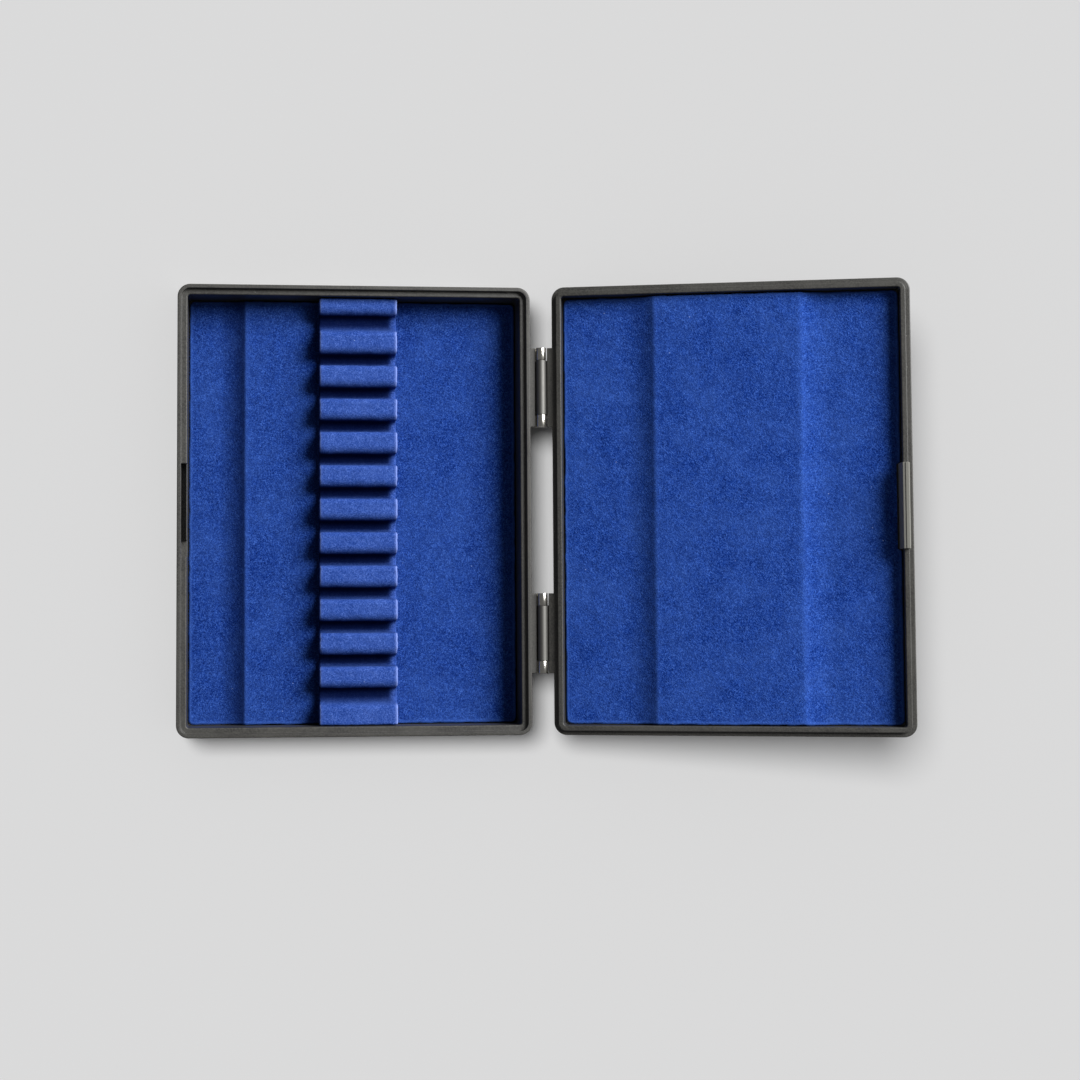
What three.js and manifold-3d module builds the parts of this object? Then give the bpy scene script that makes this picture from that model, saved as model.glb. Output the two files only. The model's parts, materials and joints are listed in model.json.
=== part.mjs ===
// A small hinged storage case with a flock-lined tray, a grooved rack and a padded lid.
// Millimetres, +Z up. The origin is the centre of the tray's underside, +X runs from the tray
// towards the lid and the hinges turn about an axis along Y. The lid stands open on its stops.
import * as THREE from "three";
import { mergeVertices } from "three/addons/utils/BufferGeometryUtils.js";
import Module from "manifold-3d";

const wasm = await Module();
wasm.setup();

// ---- Driving dimensions ------------------------------------------------------------------

const CASE = { width: 84, length: 107, cornerR: 3, edgeR: 2.2 };
const TRAY_HEIGHT = 13;
const LID_HEIGHT = 5;
const WALL = 2.35;
const FLOOR = 1.6;
const LID_OPEN_TILT = 15; // degrees that the open lid stands above level

// The rim: a stepped band on the tray takes a tongue on the lid.
const RIM = { band: 0.95, play: 0.15, bandDrop: 0.1, ledgeDrop: 1.3, tongueRise: 1.0, mouthR: 0.7 };

// The hinges: rolled steel leaves held in moulded flanges.
const HINGE = {
  reach: 2.6, // axis to each half's outer face
  places: { upper: 29.4, lower: -29.4 },
  length: 19,
  endKnuckle: 2.9,
  knuckleGap: 0.1,
  barrelR: 1.2,
  sheet: 0.35,
  pinR: 0.74,
  legIn: 3.0, // axis to the near face of the leg that is set in the wall
};
const FLANGE = { tip: 1.4, root: 3.0, top: -0.1, bottom: -3.2, lipTop: -1.5, stopGap: 0.15 };
const LEG = { tray: 6, lid: 3.4 }; // how far each leaf's leg goes down inside its wall
const SLOT_PLAY = 0.05;

// The snap catch on the lid and its slot in the tray.
const CATCH = {
  length: 20,
  bladeIn: 1.1, // outer face of the lid to the blade
  bladeThick: 0.8,
  rise: 3.2,
  tipChamfer: 0.15,
  bead: 0.2,
  beadAt: 2.3,
  beadHalf: 0.6,
  blockIn: 3.15, // outer face of the lid to the foot of the block
  blockRise: 3.0,
  blockTop: 0.65,
  blockHeel: -0.6,
  blockRoot: -3,
};
const CATCH_SLOT = { length: 22, near: 0.95, far: 2.05, depth: 5.6, lipDrop: 3.4, notch: [-11, -7] };
const BEAD_GROOVE = { depth: 0.25, half: 0.8 };

// The lining: flocked sheet over a board in the tray and over a foam pad in the lid.
const SHEET = 0.8;
const LINING_PLAY = 0.3;
const PAD_INSET = 0.5; // a pad's edge inside the sheet's
const TRAY_SHELF = { pad: 1.3, riserStart: -31.5, riserEnd: -26.7 };
const LID_PAD = { thick: 2.0, riserStart: 21, riserEnd: 27, slopeStart: 60.7, slopeEnd: 67.5 };

// The rack: one grooved block across the tray.
const RACK = { x0: -8.4, x1: 10.3, height: 6, play: 0.2, grooves: 12, pitch: 8, firstY: 44.28 };
const GROOVE = { halfWidth: 1.35, depth: 4.6, shoulder: 1.3 };
const END_GROOVE = { halfWidth: 2.1, depth: 3.2, shoulder: 1.4, outward: 0.6 };
const RACK_EDGE = 0.5; // rounding of the rack's two ends
const GROOVE_FULLNESS = 0.9; // how round a groove's bottom is: 1 would be a full quarter curve

const AXIS_X = CASE.width / 2 + HINGE.reach;
const INNER_WIDTH = CASE.width - 2 * WALL;
const INNER_LENGTH = CASE.length - 2 * WALL;
const LINING_TOP = FLOOR + TRAY_SHELF.pad + SHEET;
const LID_LINING_FLOOR = FLOOR - LID_HEIGHT + 0.1; // the glue under the lid's lining is 0.1 thick

// ---- Finishes ----------------------------------------------------------------------------

const finish = (color, roughness, metalness) => {
  return new THREE.MeshStandardMaterial({ color, roughness, metalness });
};
const blackPlastic = finish(0x2b2b27, 0.55, 0);
const blueFlock = finish(0x1f3f9c, 0.95, 0);
const greyBoard = finish(0x77736a, 0.9, 0);
const whiteFoam = finish(0xcfccc2, 0.95, 0);
const platedSteel = finish(0xc9c6bd, 0.25, 1);

// ---- Solids ------------------------------------------------------------------------------

// A closed three.js geometry as a solid that can be joined and cut.
function solid(geometry) {
  const plain = geometry.clone();
  plain.deleteAttribute("normal");
  plain.deleteAttribute("uv");
  const merged = mergeVertices(plain, 1e-4);
  return new wasm.Manifold(
    new wasm.Mesh({
      numProp: 3,
      vertProperties: merged.attributes.position.array,
      triVerts: new Uint32Array(merged.index.array),
    }),
  );
}

// A named mesh of a solid.
function mesh(name, body, material) {
  const { vertProperties, triVerts } = body.getMesh();
  const geometry = new THREE.BufferGeometry();
  geometry.setAttribute("position", new THREE.BufferAttribute(new Float32Array(vertProperties), 3));
  geometry.setIndex(new THREE.BufferAttribute(new Uint32Array(triVerts), 1));
  geometry.computeVertexNormals();
  const made = new THREE.Mesh(geometry, material);
  made.name = name;
  return made;
}

// A box between two opposite corners.
function box(low, high) {
  const size = high.map((value, i) => value - low[i]);
  const geometry = new THREE.BoxGeometry(...size);
  geometry.translate(...low.map((value, i) => value + size[i] / 2));
  return solid(geometry);
}

// A rectangle with rounded corners, centred on the origin.
function roundedRectangle(width, length, radius) {
  const x = width / 2;
  const y = length / 2;
  const shape = new THREE.Shape();
  shape.moveTo(-x + radius, -y);
  shape.lineTo(x - radius, -y);
  shape.absarc(x - radius, -y + radius, radius, -Math.PI / 2, 0, false);
  shape.lineTo(x, y - radius);
  shape.absarc(x - radius, y - radius, radius, 0, Math.PI / 2, false);
  shape.lineTo(-x + radius, y);
  shape.absarc(-x + radius, y - radius, radius, Math.PI / 2, Math.PI, false);
  shape.lineTo(-x, -y + radius);
  shape.absarc(-x + radius, -y + radius, radius, Math.PI, 1.5 * Math.PI, false);
  return shape;
}

// An upright prism on a rounded rectangle, from z0 to z1.
function prism(width, length, radius, z0, z1) {
  const shape = roundedRectangle(width, length, radius);
  const depth = z1 - z0;
  const geometry = new THREE.ExtrudeGeometry(shape, { depth, bevelEnabled: false, curveSegments: 5 });
  geometry.translate(0, 0, z0);
  return solid(geometry);
}

// The outside of one half of the case: upright corners, a rounded bottom edge at z0, open top at z1.
function caseBlock(z0, z1) {
  const tall = z1 - z0 + 2 * CASE.edgeR;
  const geometry = new THREE.ExtrudeGeometry(roundedRectangle(CASE.width, CASE.length, CASE.cornerR), {
    depth: tall - 2 * CASE.edgeR,
    bevelThickness: CASE.edgeR,
    bevelSize: CASE.edgeR,
    bevelOffset: -CASE.edgeR,
    bevelSegments: 4,
    curveSegments: 5,
  });
  geometry.translate(0, 0, z0 + CASE.edgeR);
  const above = box([-CASE.width, -CASE.length, z1], [CASE.width, CASE.length, z1 + 4 * CASE.edgeR]);
  return solid(geometry).subtract(above);
}

// A section drawn in X and Z, carried along Y from y0 to y1.
function alongY(shape, y0, y1, curveSegments = 5) {
  const geometry = new THREE.ExtrudeGeometry(shape, { depth: y1 - y0, bevelEnabled: false, curveSegments });
  geometry.rotateX(Math.PI / 2);
  geometry.translate(0, y1, 0);
  return solid(geometry);
}

// A closed outline through points.
function outline(points) {
  return new THREE.Shape(points.map(([x, y]) => new THREE.Vector2(x, y)));
}

// ---- Hinges, drawn about their own axis with the moulding on the +X side ---------------------

// The flange that carries a leaf, with the stop lip that reaches under the middle knuckle. Each lip
// ends on the line that halves the angle between the open halves, less half of the stop gap.
function flange(y) {
  const half = THREE.MathUtils.degToRad(LID_OPEN_TILT / 2);
  const stopX = (z) => z * Math.tan(half) + FLANGE.stopGap / Math.cos(half);
  const lip = outline([
    [FLANGE.root, FLANGE.bottom],
    [FLANGE.root, FLANGE.lipTop],
    [stopX(FLANGE.lipTop), FLANGE.lipTop],
    [stopX(FLANGE.bottom), FLANGE.bottom],
  ]);
  const end = HINGE.length / 2;
  const lipEnd = end - HINGE.endKnuckle;
  const block = box([FLANGE.tip, y - end, FLANGE.bottom], [FLANGE.root, y + end, FLANGE.top]);
  return block.add(alongY(lip, y - lipEnd, y + lipEnd));
}

// The Y ranges of a leaf's knuckles: the tray's leaf has the two end ones, the lid's the middle one.
function knuckleSpans(y, side) {
  const end = y + HINGE.length / 2;
  const middle = HINGE.length / 2 - HINGE.endKnuckle - HINGE.knuckleGap;
  if (side === "lid") {
    return [[y - middle, y + middle]];
  }
  return [
    [end - HINGE.endKnuckle, end],
    [end - HINGE.length, end - HINGE.length + HINGE.endKnuckle],
  ];
}

// A rolled knuckle with the strip that leaves it at the bottom and runs out to the leg.
function knuckle(span) {
  const r = HINGE.barrelR;
  const inner = r - HINGE.sheet;
  const seam = THREE.MathUtils.degToRad(-20); // where the rolled edge ends, just above the strip
  const section = new THREE.Shape();
  section.moveTo(HINGE.legIn + HINGE.sheet, -r);
  section.lineTo(HINGE.legIn + HINGE.sheet, -inner);
  section.lineTo(0, -inner);
  section.absarc(0, 0, inner, -Math.PI / 2, seam - 2 * Math.PI, true);
  section.absarc(0, 0, r, seam, 1.5 * Math.PI, false);
  return alongY(section, span[0], span[1], 10);
}

// One leaf: knuckles, and a leg that goes down inside the wall.
function leaf(y, side) {
  const low = [HINGE.legIn, y - HINGE.length / 2, -LEG[side]];
  const high = [HINGE.legIn + HINGE.sheet, y + HINGE.length / 2, HINGE.sheet - HINGE.barrelR];
  return knuckleSpans(y, side).reduce((made, span) => made.add(knuckle(span)), box(low, high));
}

// The room that a leaf takes in the moulding.
function leafSlot(y, side) {
  const top = HINGE.sheet - HINGE.barrelR + SLOT_PLAY;
  const endY = HINGE.length / 2 + SLOT_PLAY;
  const far = HINGE.legIn + HINGE.sheet + SLOT_PLAY;
  const leg = box([HINGE.legIn - SLOT_PLAY, y - endY, -LEG[side] - SLOT_PLAY], [far, y + endY, top]);
  return knuckleSpans(y, side).reduce((made, [y0, y1]) => {
    const low = [0, y0 - SLOT_PLAY, -HINGE.barrelR - SLOT_PLAY];
    return made.add(box(low, [far, y1 + SLOT_PLAY, top]));
  }, leg);
}

// A headless pin through all three knuckles.
function hingePin(y) {
  const geometry = new THREE.CylinderGeometry(HINGE.pinR, HINGE.pinR, HINGE.length, 16);
  geometry.translate(0, y, 0);
  return solid(geometry);
}

// ---- Mouldings, drawn rim up and centred, with the parting plane at z = 0 -------------------------

// A hinge-side piece about the axis. The tray's are turned half round to face the lid's, so they
// are drawn at the opposite Y.
function facing(side, y, draw) {
  return side === "lid" ? draw(y) : draw(-y).rotate([0, 0, 180]);
}

// Adds the flanges to a half and cuts the room for its leaves.
function withHingeSeats(half, side) {
  const toHalf = [side === "lid" ? -AXIS_X : AXIS_X, 0, 0];
  return Object.values(HINGE.places).reduce((made, y) => {
    const seat = facing(side, y, flange).translate(toHalf);
    const room = facing(side, y, (at) => leafSlot(at, side)).translate(toHalf);
    return made.add(seat).subtract(room);
  }, half);
}

// The slot in the tray's left rim that takes the catch, with a shallow groove for its bead.
function catchSlot() {
  const face = -CASE.width / 2;
  const near = face + CATCH_SLOT.near;
  const inside = face + WALL + 0.5;
  const y = CATCH_SLOT.length / 2;
  const slot = box([near, -y, -CATCH_SLOT.depth], [face + CATCH_SLOT.far, y, 1]);
  const groove = outline([
    [near + 0.1, -CATCH.beadAt - BEAD_GROOVE.half],
    [near + 0.1, -CATCH.beadAt + BEAD_GROOVE.half],
    [near - BEAD_GROOVE.depth, -CATCH.beadAt],
  ]);
  const [low, high] = CATCH_SLOT.notch;
  const notch = box([near, low, -CATCH_SLOT.depth], [inside, high, 1]);
  const blockRoom = box([near, -y, -CATCH_SLOT.lipDrop], [inside, y, 1]);
  return slot.add(alongY(groove, -y, y)).add(notch).add(blockRoom);
}

// The lid's catch: a thin blade with an outward bead, backed by a sloped block.
function catchBlade() {
  const face = CASE.width / 2;
  const outer = face - CATCH.bladeIn;
  const inner = outer - CATCH.bladeThick;
  const blade = outline([
    [inner, CATCH.blockRoot],
    [outer, CATCH.blockRoot],
    [outer, CATCH.beadAt - CATCH.beadHalf],
    [outer + CATCH.bead, CATCH.beadAt],
    [outer, CATCH.beadAt + CATCH.beadHalf],
    [outer - CATCH.tipChamfer, CATCH.rise],
    [inner + CATCH.tipChamfer, CATCH.rise],
    [inner, CATCH.rise - CATCH.tipChamfer],
  ]);
  const block = outline([
    [face - CATCH.blockIn, CATCH.blockRoot],
    [outer, CATCH.blockRoot],
    [outer, CATCH.blockRise],
    [inner - CATCH.blockTop, CATCH.blockRise],
    [face - CATCH.blockIn, CATCH.blockHeel],
  ]);
  const y = CATCH.length / 2;
  return alongY(blade, -y, y).add(alongY(block, -y, y));
}

function trayShell() {
  const rabbetWidth = CASE.width - 2 * RIM.band;
  const rabbetLength = CASE.length - 2 * RIM.band;
  const body = caseBlock(-TRAY_HEIGHT, -RIM.bandDrop)
    .subtract(prism(INNER_WIDTH, INNER_LENGTH, RIM.mouthR, FLOOR - TRAY_HEIGHT, 1))
    .subtract(prism(rabbetWidth, rabbetLength, CASE.cornerR - RIM.band, -RIM.ledgeDrop, 1));
  return withHingeSeats(body, "tray").subtract(catchSlot());
}

function lidShell() {
  const inset = 2 * (RIM.band + RIM.play);
  const tongueR = CASE.cornerR - RIM.band - RIM.play;
  const tongue = prism(CASE.width - inset, CASE.length - inset, tongueR, -1, RIM.tongueRise);
  const body = caseBlock(-LID_HEIGHT, -RIM.bandDrop)
    .add(tongue)
    .subtract(prism(INNER_WIDTH, INNER_LENGTH, RIM.mouthR, FLOOR - LID_HEIGHT, 2));
  return withHingeSeats(body, "lid").add(catchBlade());
}

// ---- Lining, pads and rack -------------------------------------------------------------------

// A sheet laid on a floor and over the raised part of it. Each stop is an X place and a height.
function laidSheet(stops, floor) {
  const top = stops.map(([x, z]) => [x, z + SHEET]);
  const section = outline([...stops, ...top.reverse()]);
  const length = INNER_LENGTH - 2 * LINING_PLAY;
  const cut = prism(INNER_WIDTH - 2 * LINING_PLAY, length, 1, floor - 1, floor + 10);
  return alongY(section, -length / 2, length / 2).intersect(cut);
}

// A pad with sloping edges under the sheet, kept a little clear of it.
function pad(x0, x1, slope0, slope1, floor, thick) {
  const clear = 0.12;
  const length = INNER_LENGTH - 2 * LINING_PLAY - 2 * PAD_INSET;
  const section = outline([
    [x0 + clear, floor],
    [x1 - clear, floor],
    [x1 - slope1 - clear, floor + thick - clear],
    [x0 + slope0 + clear, floor + thick - clear],
  ]);
  return alongY(section, -length / 2, length / 2);
}

const SIDE = INNER_WIDTH / 2 - LINING_PLAY;

function trayLining() {
  const low = FLOOR;
  const high = FLOOR + TRAY_SHELF.pad;
  const stops = [[-SIDE, low], [TRAY_SHELF.riserStart, low], [TRAY_SHELF.riserEnd, high], [SIDE, high]];
  return laidSheet(stops, low);
}

function trayShelfPad() {
  const riser = TRAY_SHELF.riserEnd - TRAY_SHELF.riserStart;
  return pad(TRAY_SHELF.riserStart, SIDE - PAD_INSET, riser, 0, FLOOR, TRAY_SHELF.pad);
}

// Lid places are given by their distance from the hinge axis.
const fromAxis = (distance) => distance - AXIS_X;

function lidLining() {
  const low = LID_LINING_FLOOR;
  const high = low + LID_PAD.thick;
  const stops = [
    [-SIDE, low],
    [fromAxis(LID_PAD.riserStart), low],
    [fromAxis(LID_PAD.riserEnd), high],
    [fromAxis(LID_PAD.slopeStart), high],
    [fromAxis(LID_PAD.slopeEnd), low],
    [SIDE, low],
  ];
  return laidSheet(stops, low).subtract(catchNotch(low));
}

// The cut-out in the lid's lining that clears the catch's block.
function catchNotch(low) {
  const x = CASE.width / 2 - CATCH.blockIn - LINING_PLAY;
  const y = CATCH.length / 2 + LINING_PLAY;
  return box([x, -y, low - 1], [SIDE + 1, y, low + 2 * SHEET]);
}

function lidPressurePad() {
  const x0 = fromAxis(LID_PAD.riserStart);
  const x1 = fromAxis(LID_PAD.slopeEnd);
  const slope0 = LID_PAD.riserEnd - LID_PAD.riserStart;
  const slope1 = LID_PAD.slopeEnd - LID_PAD.slopeStart;
  return pad(x0, x1, slope0, slope1, LID_LINING_FLOOR, LID_PAD.thick);
}

// The rack's section, drawn along Y: flat lands and round-bottomed grooves with rounded shoulders.
function rack() {
  const end = INNER_LENGTH / 2 - RACK.play;
  const top = RACK.height;
  const section = new THREE.Shape();
  section.moveTo(end, 0);
  section.lineTo(end, top - RACK_EDGE);
  section.quadraticCurveTo(end, top, end - RACK_EDGE, top);
  for (let i = 0; i < RACK.grooves; i += 1) {
    const outer = i === 0 || i === RACK.grooves - 1;
    const { halfWidth, depth, shoulder } = outer ? END_GROOVE : GROOVE;
    const middle = RACK.firstY - i * RACK.pitch;
    const y = outer ? middle + Math.sign(middle) * END_GROOVE.outward : middle;
    const bottom = top - depth;
    const round = halfWidth * GROOVE_FULLNESS;
    section.lineTo(y + halfWidth + shoulder, top);
    section.quadraticCurveTo(y + halfWidth, top, y + halfWidth, top - shoulder);
    section.lineTo(y + halfWidth, bottom + round);
    section.quadraticCurveTo(y + round, bottom, y, bottom);
    section.quadraticCurveTo(y - round, bottom, y - halfWidth, bottom + round);
    section.lineTo(y - halfWidth, top - shoulder);
    section.quadraticCurveTo(y - halfWidth, top, y - halfWidth - shoulder, top);
  }
  section.lineTo(-end + RACK_EDGE, top);
  section.quadraticCurveTo(-end, top, -end, top - RACK_EDGE);
  section.lineTo(-end, 0);
  const geometry = new THREE.ExtrudeGeometry(section, {
    depth: RACK.x1 - RACK.x0,
    bevelEnabled: false,
    curveSegments: 3,
  });
  geometry.rotateX(Math.PI / 2);
  geometry.rotateZ(Math.PI / 2);
  geometry.translate(RACK.x0, 0, 0);
  return solid(geometry);
}

// ---- Assembly ---------------------------------------------------------------------------------

// The tray's rim-up drawings stand on the ground; the lid's hang from the hinge axis, tilted open.
const tray = new THREE.Group();
tray.position.z = TRAY_HEIGHT;
tray.add(mesh("tray_shell", trayShell(), blackPlastic));

const trayFloor = new THREE.Group();
trayFloor.add(mesh("tray_shelf_pad", trayShelfPad(), greyBoard));
trayFloor.add(mesh("tray_lining", trayLining(), blueFlock));
const rackMesh = mesh("needle_rack", rack(), blueFlock);
rackMesh.position.z = LINING_TOP;
trayFloor.add(rackMesh);

const hingeAxis = new THREE.Group();
hingeAxis.position.set(AXIS_X, 0, TRAY_HEIGHT);

const lid = new THREE.Group();
lid.rotation.y = THREE.MathUtils.degToRad(-LID_OPEN_TILT);
hingeAxis.add(lid);

const lidHalf = new THREE.Group();
lidHalf.position.x = AXIS_X;
lidHalf.add(mesh("lid_shell", lidShell(), blackPlastic));
lidHalf.add(mesh("lid_pressure_pad", lidPressurePad(), whiteFoam));
lidHalf.add(mesh("lid_lining", lidLining(), blueFlock));
lid.add(lidHalf);

for (const [place, y] of Object.entries(HINGE.places)) {
  const trayLeaf = facing("tray", y, (at) => leaf(at, "tray"));
  hingeAxis.add(mesh(`${place}_hinge_tray_leaf`, trayLeaf, platedSteel));
  hingeAxis.add(mesh(`${place}_hinge_pin`, hingePin(y), platedSteel));
  lid.add(mesh(`${place}_hinge_lid_leaf`, leaf(y, "lid"), platedSteel));
}

const group = new THREE.Group();
group.add(tray, trayFloor, hingeAxis);

export default group;
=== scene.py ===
"""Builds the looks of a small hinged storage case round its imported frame.

The case lies open. Its tray has a flocked floor and a grooved rack, and its padded lid stands on
the stops of two rolled steel hinges. Shapes are worked out in millimetres: the tray's in the row
frame, and the lid's in its own axes, where u runs out from the hinge axis, v along it, and w up
from the parting plane. Each mesh is put in the row frame, in metres, as it is made.
"""

import json
import logging
import math
from dataclasses import dataclass, field
from enum import Enum

import bmesh
import bpy
import numpy as np
from mathutils import Matrix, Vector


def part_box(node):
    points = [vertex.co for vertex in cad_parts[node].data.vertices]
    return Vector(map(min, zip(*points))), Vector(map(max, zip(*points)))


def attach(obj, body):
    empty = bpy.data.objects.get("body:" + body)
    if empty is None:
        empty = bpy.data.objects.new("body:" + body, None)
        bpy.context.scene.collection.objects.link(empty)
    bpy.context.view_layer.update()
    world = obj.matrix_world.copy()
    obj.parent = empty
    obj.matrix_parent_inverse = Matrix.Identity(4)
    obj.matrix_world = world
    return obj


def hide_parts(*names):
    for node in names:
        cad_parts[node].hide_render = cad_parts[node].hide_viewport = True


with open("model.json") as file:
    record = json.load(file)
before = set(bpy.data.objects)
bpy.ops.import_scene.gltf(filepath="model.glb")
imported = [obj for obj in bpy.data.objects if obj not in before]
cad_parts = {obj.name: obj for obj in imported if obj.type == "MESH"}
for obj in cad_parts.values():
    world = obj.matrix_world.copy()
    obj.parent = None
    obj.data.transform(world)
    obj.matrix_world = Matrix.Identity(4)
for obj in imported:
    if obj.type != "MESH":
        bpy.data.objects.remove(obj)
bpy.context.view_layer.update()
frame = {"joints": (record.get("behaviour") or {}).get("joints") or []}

log = logging.getLogger("case")

MM = 0.001
WELD = 2e-6  # points nearer than this, in metres, are one point
REPEAT = 1e-6  # points of a section nearer than this, in millimetres, are one point
STRAIGHT = 1e-3  # a corner that turns less than about twice this, in radians, is left as it is


# ---- Places read from the frame ---------------------------------------------------------------


@dataclass(frozen=True)
class Layout:
    """The case's main places, in millimetres, and the lid's tilt, in radians.

    Attributes:
        width: outer size of one half across the hinges.
        length: outer size of one half along the hinges.
        axis_x: where the hinge axis is, from the middle of the tray.
        parting: height of the hinge axis and of the plane where the halves meet.
        tilt: how far the open lid stands above level.
        rack: the rack's lowest and highest corners.
        hinges: the middle of each hinge along the axis, by name.
    """

    width: float
    length: float
    axis_x: float
    parting: float
    tilt: float
    rack: tuple[np.ndarray, np.ndarray]
    hinges: dict[str, float]

    @classmethod
    def from_frame(cls) -> "Layout":
        """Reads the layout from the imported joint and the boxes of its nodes."""
        joint = frame["joints"][0]
        axis_x, _, parting = (value / MM for value in joint["pos_m"])
        low, high = (np.array(corner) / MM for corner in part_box("tray_shell"))
        names = ("upper", "lower")
        middles = {name: sum(corner.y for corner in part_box(f"{name}_hinge_pin")) / 2 / MM for name in names}
        return cls(
            width=-2 * low[0],
            length=high[1] - low[1],
            axis_x=axis_x,
            parting=parting,
            tilt=math.radians(180 - joint["range_deg"][1]),
            rack=tuple(np.array(corner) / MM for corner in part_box("needle_rack")),
            hinges=middles,
        )


LAYOUT = Layout.from_frame()


class Half(Enum):
    """The half of the case that a piece belongs to, named as its body."""

    TRAY = "tray"
    LID = "lid"

    def to_row(self, points: np.ndarray) -> np.ndarray:
        """Turns points of this half into the row frame.

        Args:
            points: (n, 3) points in millimetres, in the row frame for the tray, and as u, v, w for the lid.

        Returns:
            The (n, 3) points in metres, in the row frame.
        """
        if self is Half.TRAY:
            return points * MM
        u, v, w = points.T
        cos, sin = math.cos(LAYOUT.tilt), math.sin(LAYOUT.tilt)
        x = LAYOUT.axis_x + u * cos - w * sin
        z = LAYOUT.parting + u * sin + w * cos
        return np.stack([x, v, z], axis=1) * MM


# ---- Surfaces worked out with numpy -------------------------------------------------------------


@dataclass
class Surface:
    """Points in millimetres, faces as arrays of corner numbers, and numbers per point by name."""

    points: np.ndarray
    faces: list[np.ndarray]
    marks: dict[str, np.ndarray] = field(default_factory=dict)

    def volume(self) -> float:
        """Returns the signed volume: the sum, over fans of triangles, of the box product over six."""
        total = 0.0
        for corners in self.faces:
            a = self.points[corners[:, 0]]
            for k in range(1, corners.shape[1] - 1):
                b, c = self.points[corners[:, k]], self.points[corners[:, k + 1]]
                total += float(np.einsum("ij,ij->", a, np.cross(b, c))) / 6
        return total

    def outward(self) -> "Surface":
        """Returns the closed surface with its faces turned to point out."""
        if self.volume() < 0:
            return Surface(self.points, [corners[:, ::-1] for corners in self.faces], self.marks)
        return self


def joined(*surfaces: Surface) -> Surface:
    """Returns one surface that holds several, each as it is."""
    faces, first = [], 0
    for surface in surfaces:
        faces += [corners + first for corners in surface.faces]
        first += len(surface.points)
    names = sorted({name for surface in surfaces for name in surface.marks})
    marks = {}
    for name in names:
        each = [surface.marks.get(name, np.zeros(len(surface.points))) for surface in surfaces]
        marks[name] = np.concatenate(each)
    return Surface(np.concatenate([surface.points for surface in surfaces]), faces, marks)


def grid_faces(rows: int, columns: int, wrap_rows: bool = False, wrap_columns: bool = False) -> np.ndarray:
    """The quads of a grid of points.

    Args:
        rows: points down the grid.
        columns: points across it.
        wrap_rows: joins the last row to the first.
        wrap_columns: joins the last column to the first.

    Returns:
        (n, 4) corner numbers, counted along each row in turn.
    """
    i = np.arange(rows if wrap_rows else rows - 1)[:, None]
    j = np.arange(columns if wrap_columns else columns - 1)[None, :]
    down, across = (i + 1) % rows, (j + 1) % columns
    quads = np.stack(
        [i * columns + j, i * columns + across, down * columns + across, down * columns + j], axis=-1
    )
    return quads.reshape(-1, 4)


def filleted(
    corners: list[tuple[float, float]], radii: list[float], steps: int, closed: bool = False
) -> np.ndarray:
    """An outline through corners, each rounded to its own radius.

    A corner is replaced with an arc that touches both its sides. The arc starts and ends at the
    radius over the tangent of half the corner's angle from the corner, and its points are even
    turns about its centre, worked out from its first and last spokes. A corner with no radius, or
    with no turn, is repeated, so that outlines with the same corners have the same points.

    Args:
        corners: the outline's corners.
        radii: one radius for each corner. An open outline's first and last aren't used.
        steps: points in each arc, less one.
        closed: joins the last corner to the first.

    Returns:
        (n, 2) points.
    """
    at = np.array(corners, float)
    share = np.linspace(0, 1, steps + 1)[:, None]
    made = []
    for k, (corner, radius) in enumerate(zip(at, radii)):
        if not closed and k in (0, len(at) - 1):
            made.append(corner[None])
            continue
        back = at[k - 1] - corner
        on = at[(k + 1) % len(at)] - corner
        back, on = back / np.linalg.norm(back), on / np.linalg.norm(on)
        half = math.acos(float(np.clip(back @ on, -1, 1))) / 2
        if radius == 0 or half > math.pi / 2 - STRAIGHT:
            made.append(np.repeat(corner[None], steps + 1, axis=0))
            continue
        middle = (back + on) / np.linalg.norm(back + on) * radius / math.sin(half)
        first, last = back * radius / math.tan(half) - middle, on * radius / math.tan(half) - middle
        turn = math.pi - 2 * half
        arc = (np.sin((1 - share) * turn) * first + np.sin(share * turn) * last) / math.sin(turn)
        made.append(corner + middle + arc)
    return np.concatenate(made)


def spread(outline: np.ndarray, step: float) -> np.ndarray:
    """Returns a closed outline again with extra points, so that none are further apart than step."""
    ends = np.roll(outline, -1, axis=0)
    counts = np.maximum(1, np.ceil(np.linalg.norm(ends - outline, axis=1) / step)).astype(int)
    index = np.repeat(np.arange(len(outline)), counts)
    first = np.repeat(np.cumsum(counts) - counts, counts)
    share = ((np.arange(counts.sum()) - first) / np.repeat(counts, counts))[:, None]
    return outline[index] * (1 - share) + ends[index] * share


def section_of(corners: list[tuple[float, float]], radii: list[float], steps: int) -> np.ndarray:
    """Returns the closed outline through rounded corners, without points that repeat the one before."""
    outline = filleted(corners, radii, steps, closed=True)
    gap = np.linalg.norm(outline - np.roll(outline, 1, axis=0), axis=1)
    return outline[gap > REPEAT]


def outward_of(outline: np.ndarray) -> np.ndarray:
    """Returns the unit normals of a closed outline, pointing out: its chords turned a quarter turn."""
    chord = np.roll(outline, -1, axis=0) - np.roll(outline, 1, axis=0)
    normal = np.stack([chord[:, 1], -chord[:, 0]], axis=1)
    normal /= np.linalg.norm(normal, axis=1)[:, None]
    x, y = outline.T
    turns_left = np.sum(x * np.roll(y, -1) - y * np.roll(x, -1)) > 0
    return normal if turns_left else -normal


def quarter_steps(radius: float, steps: int) -> tuple[np.ndarray, np.ndarray]:
    """Returns how far in and how far along an edge rounding goes, as points of a quarter circle."""
    turn = np.linspace(0, math.pi / 2, steps + 1)
    return radius * (1 - np.sin(turn)), radius * (1 - np.cos(turn))


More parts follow.
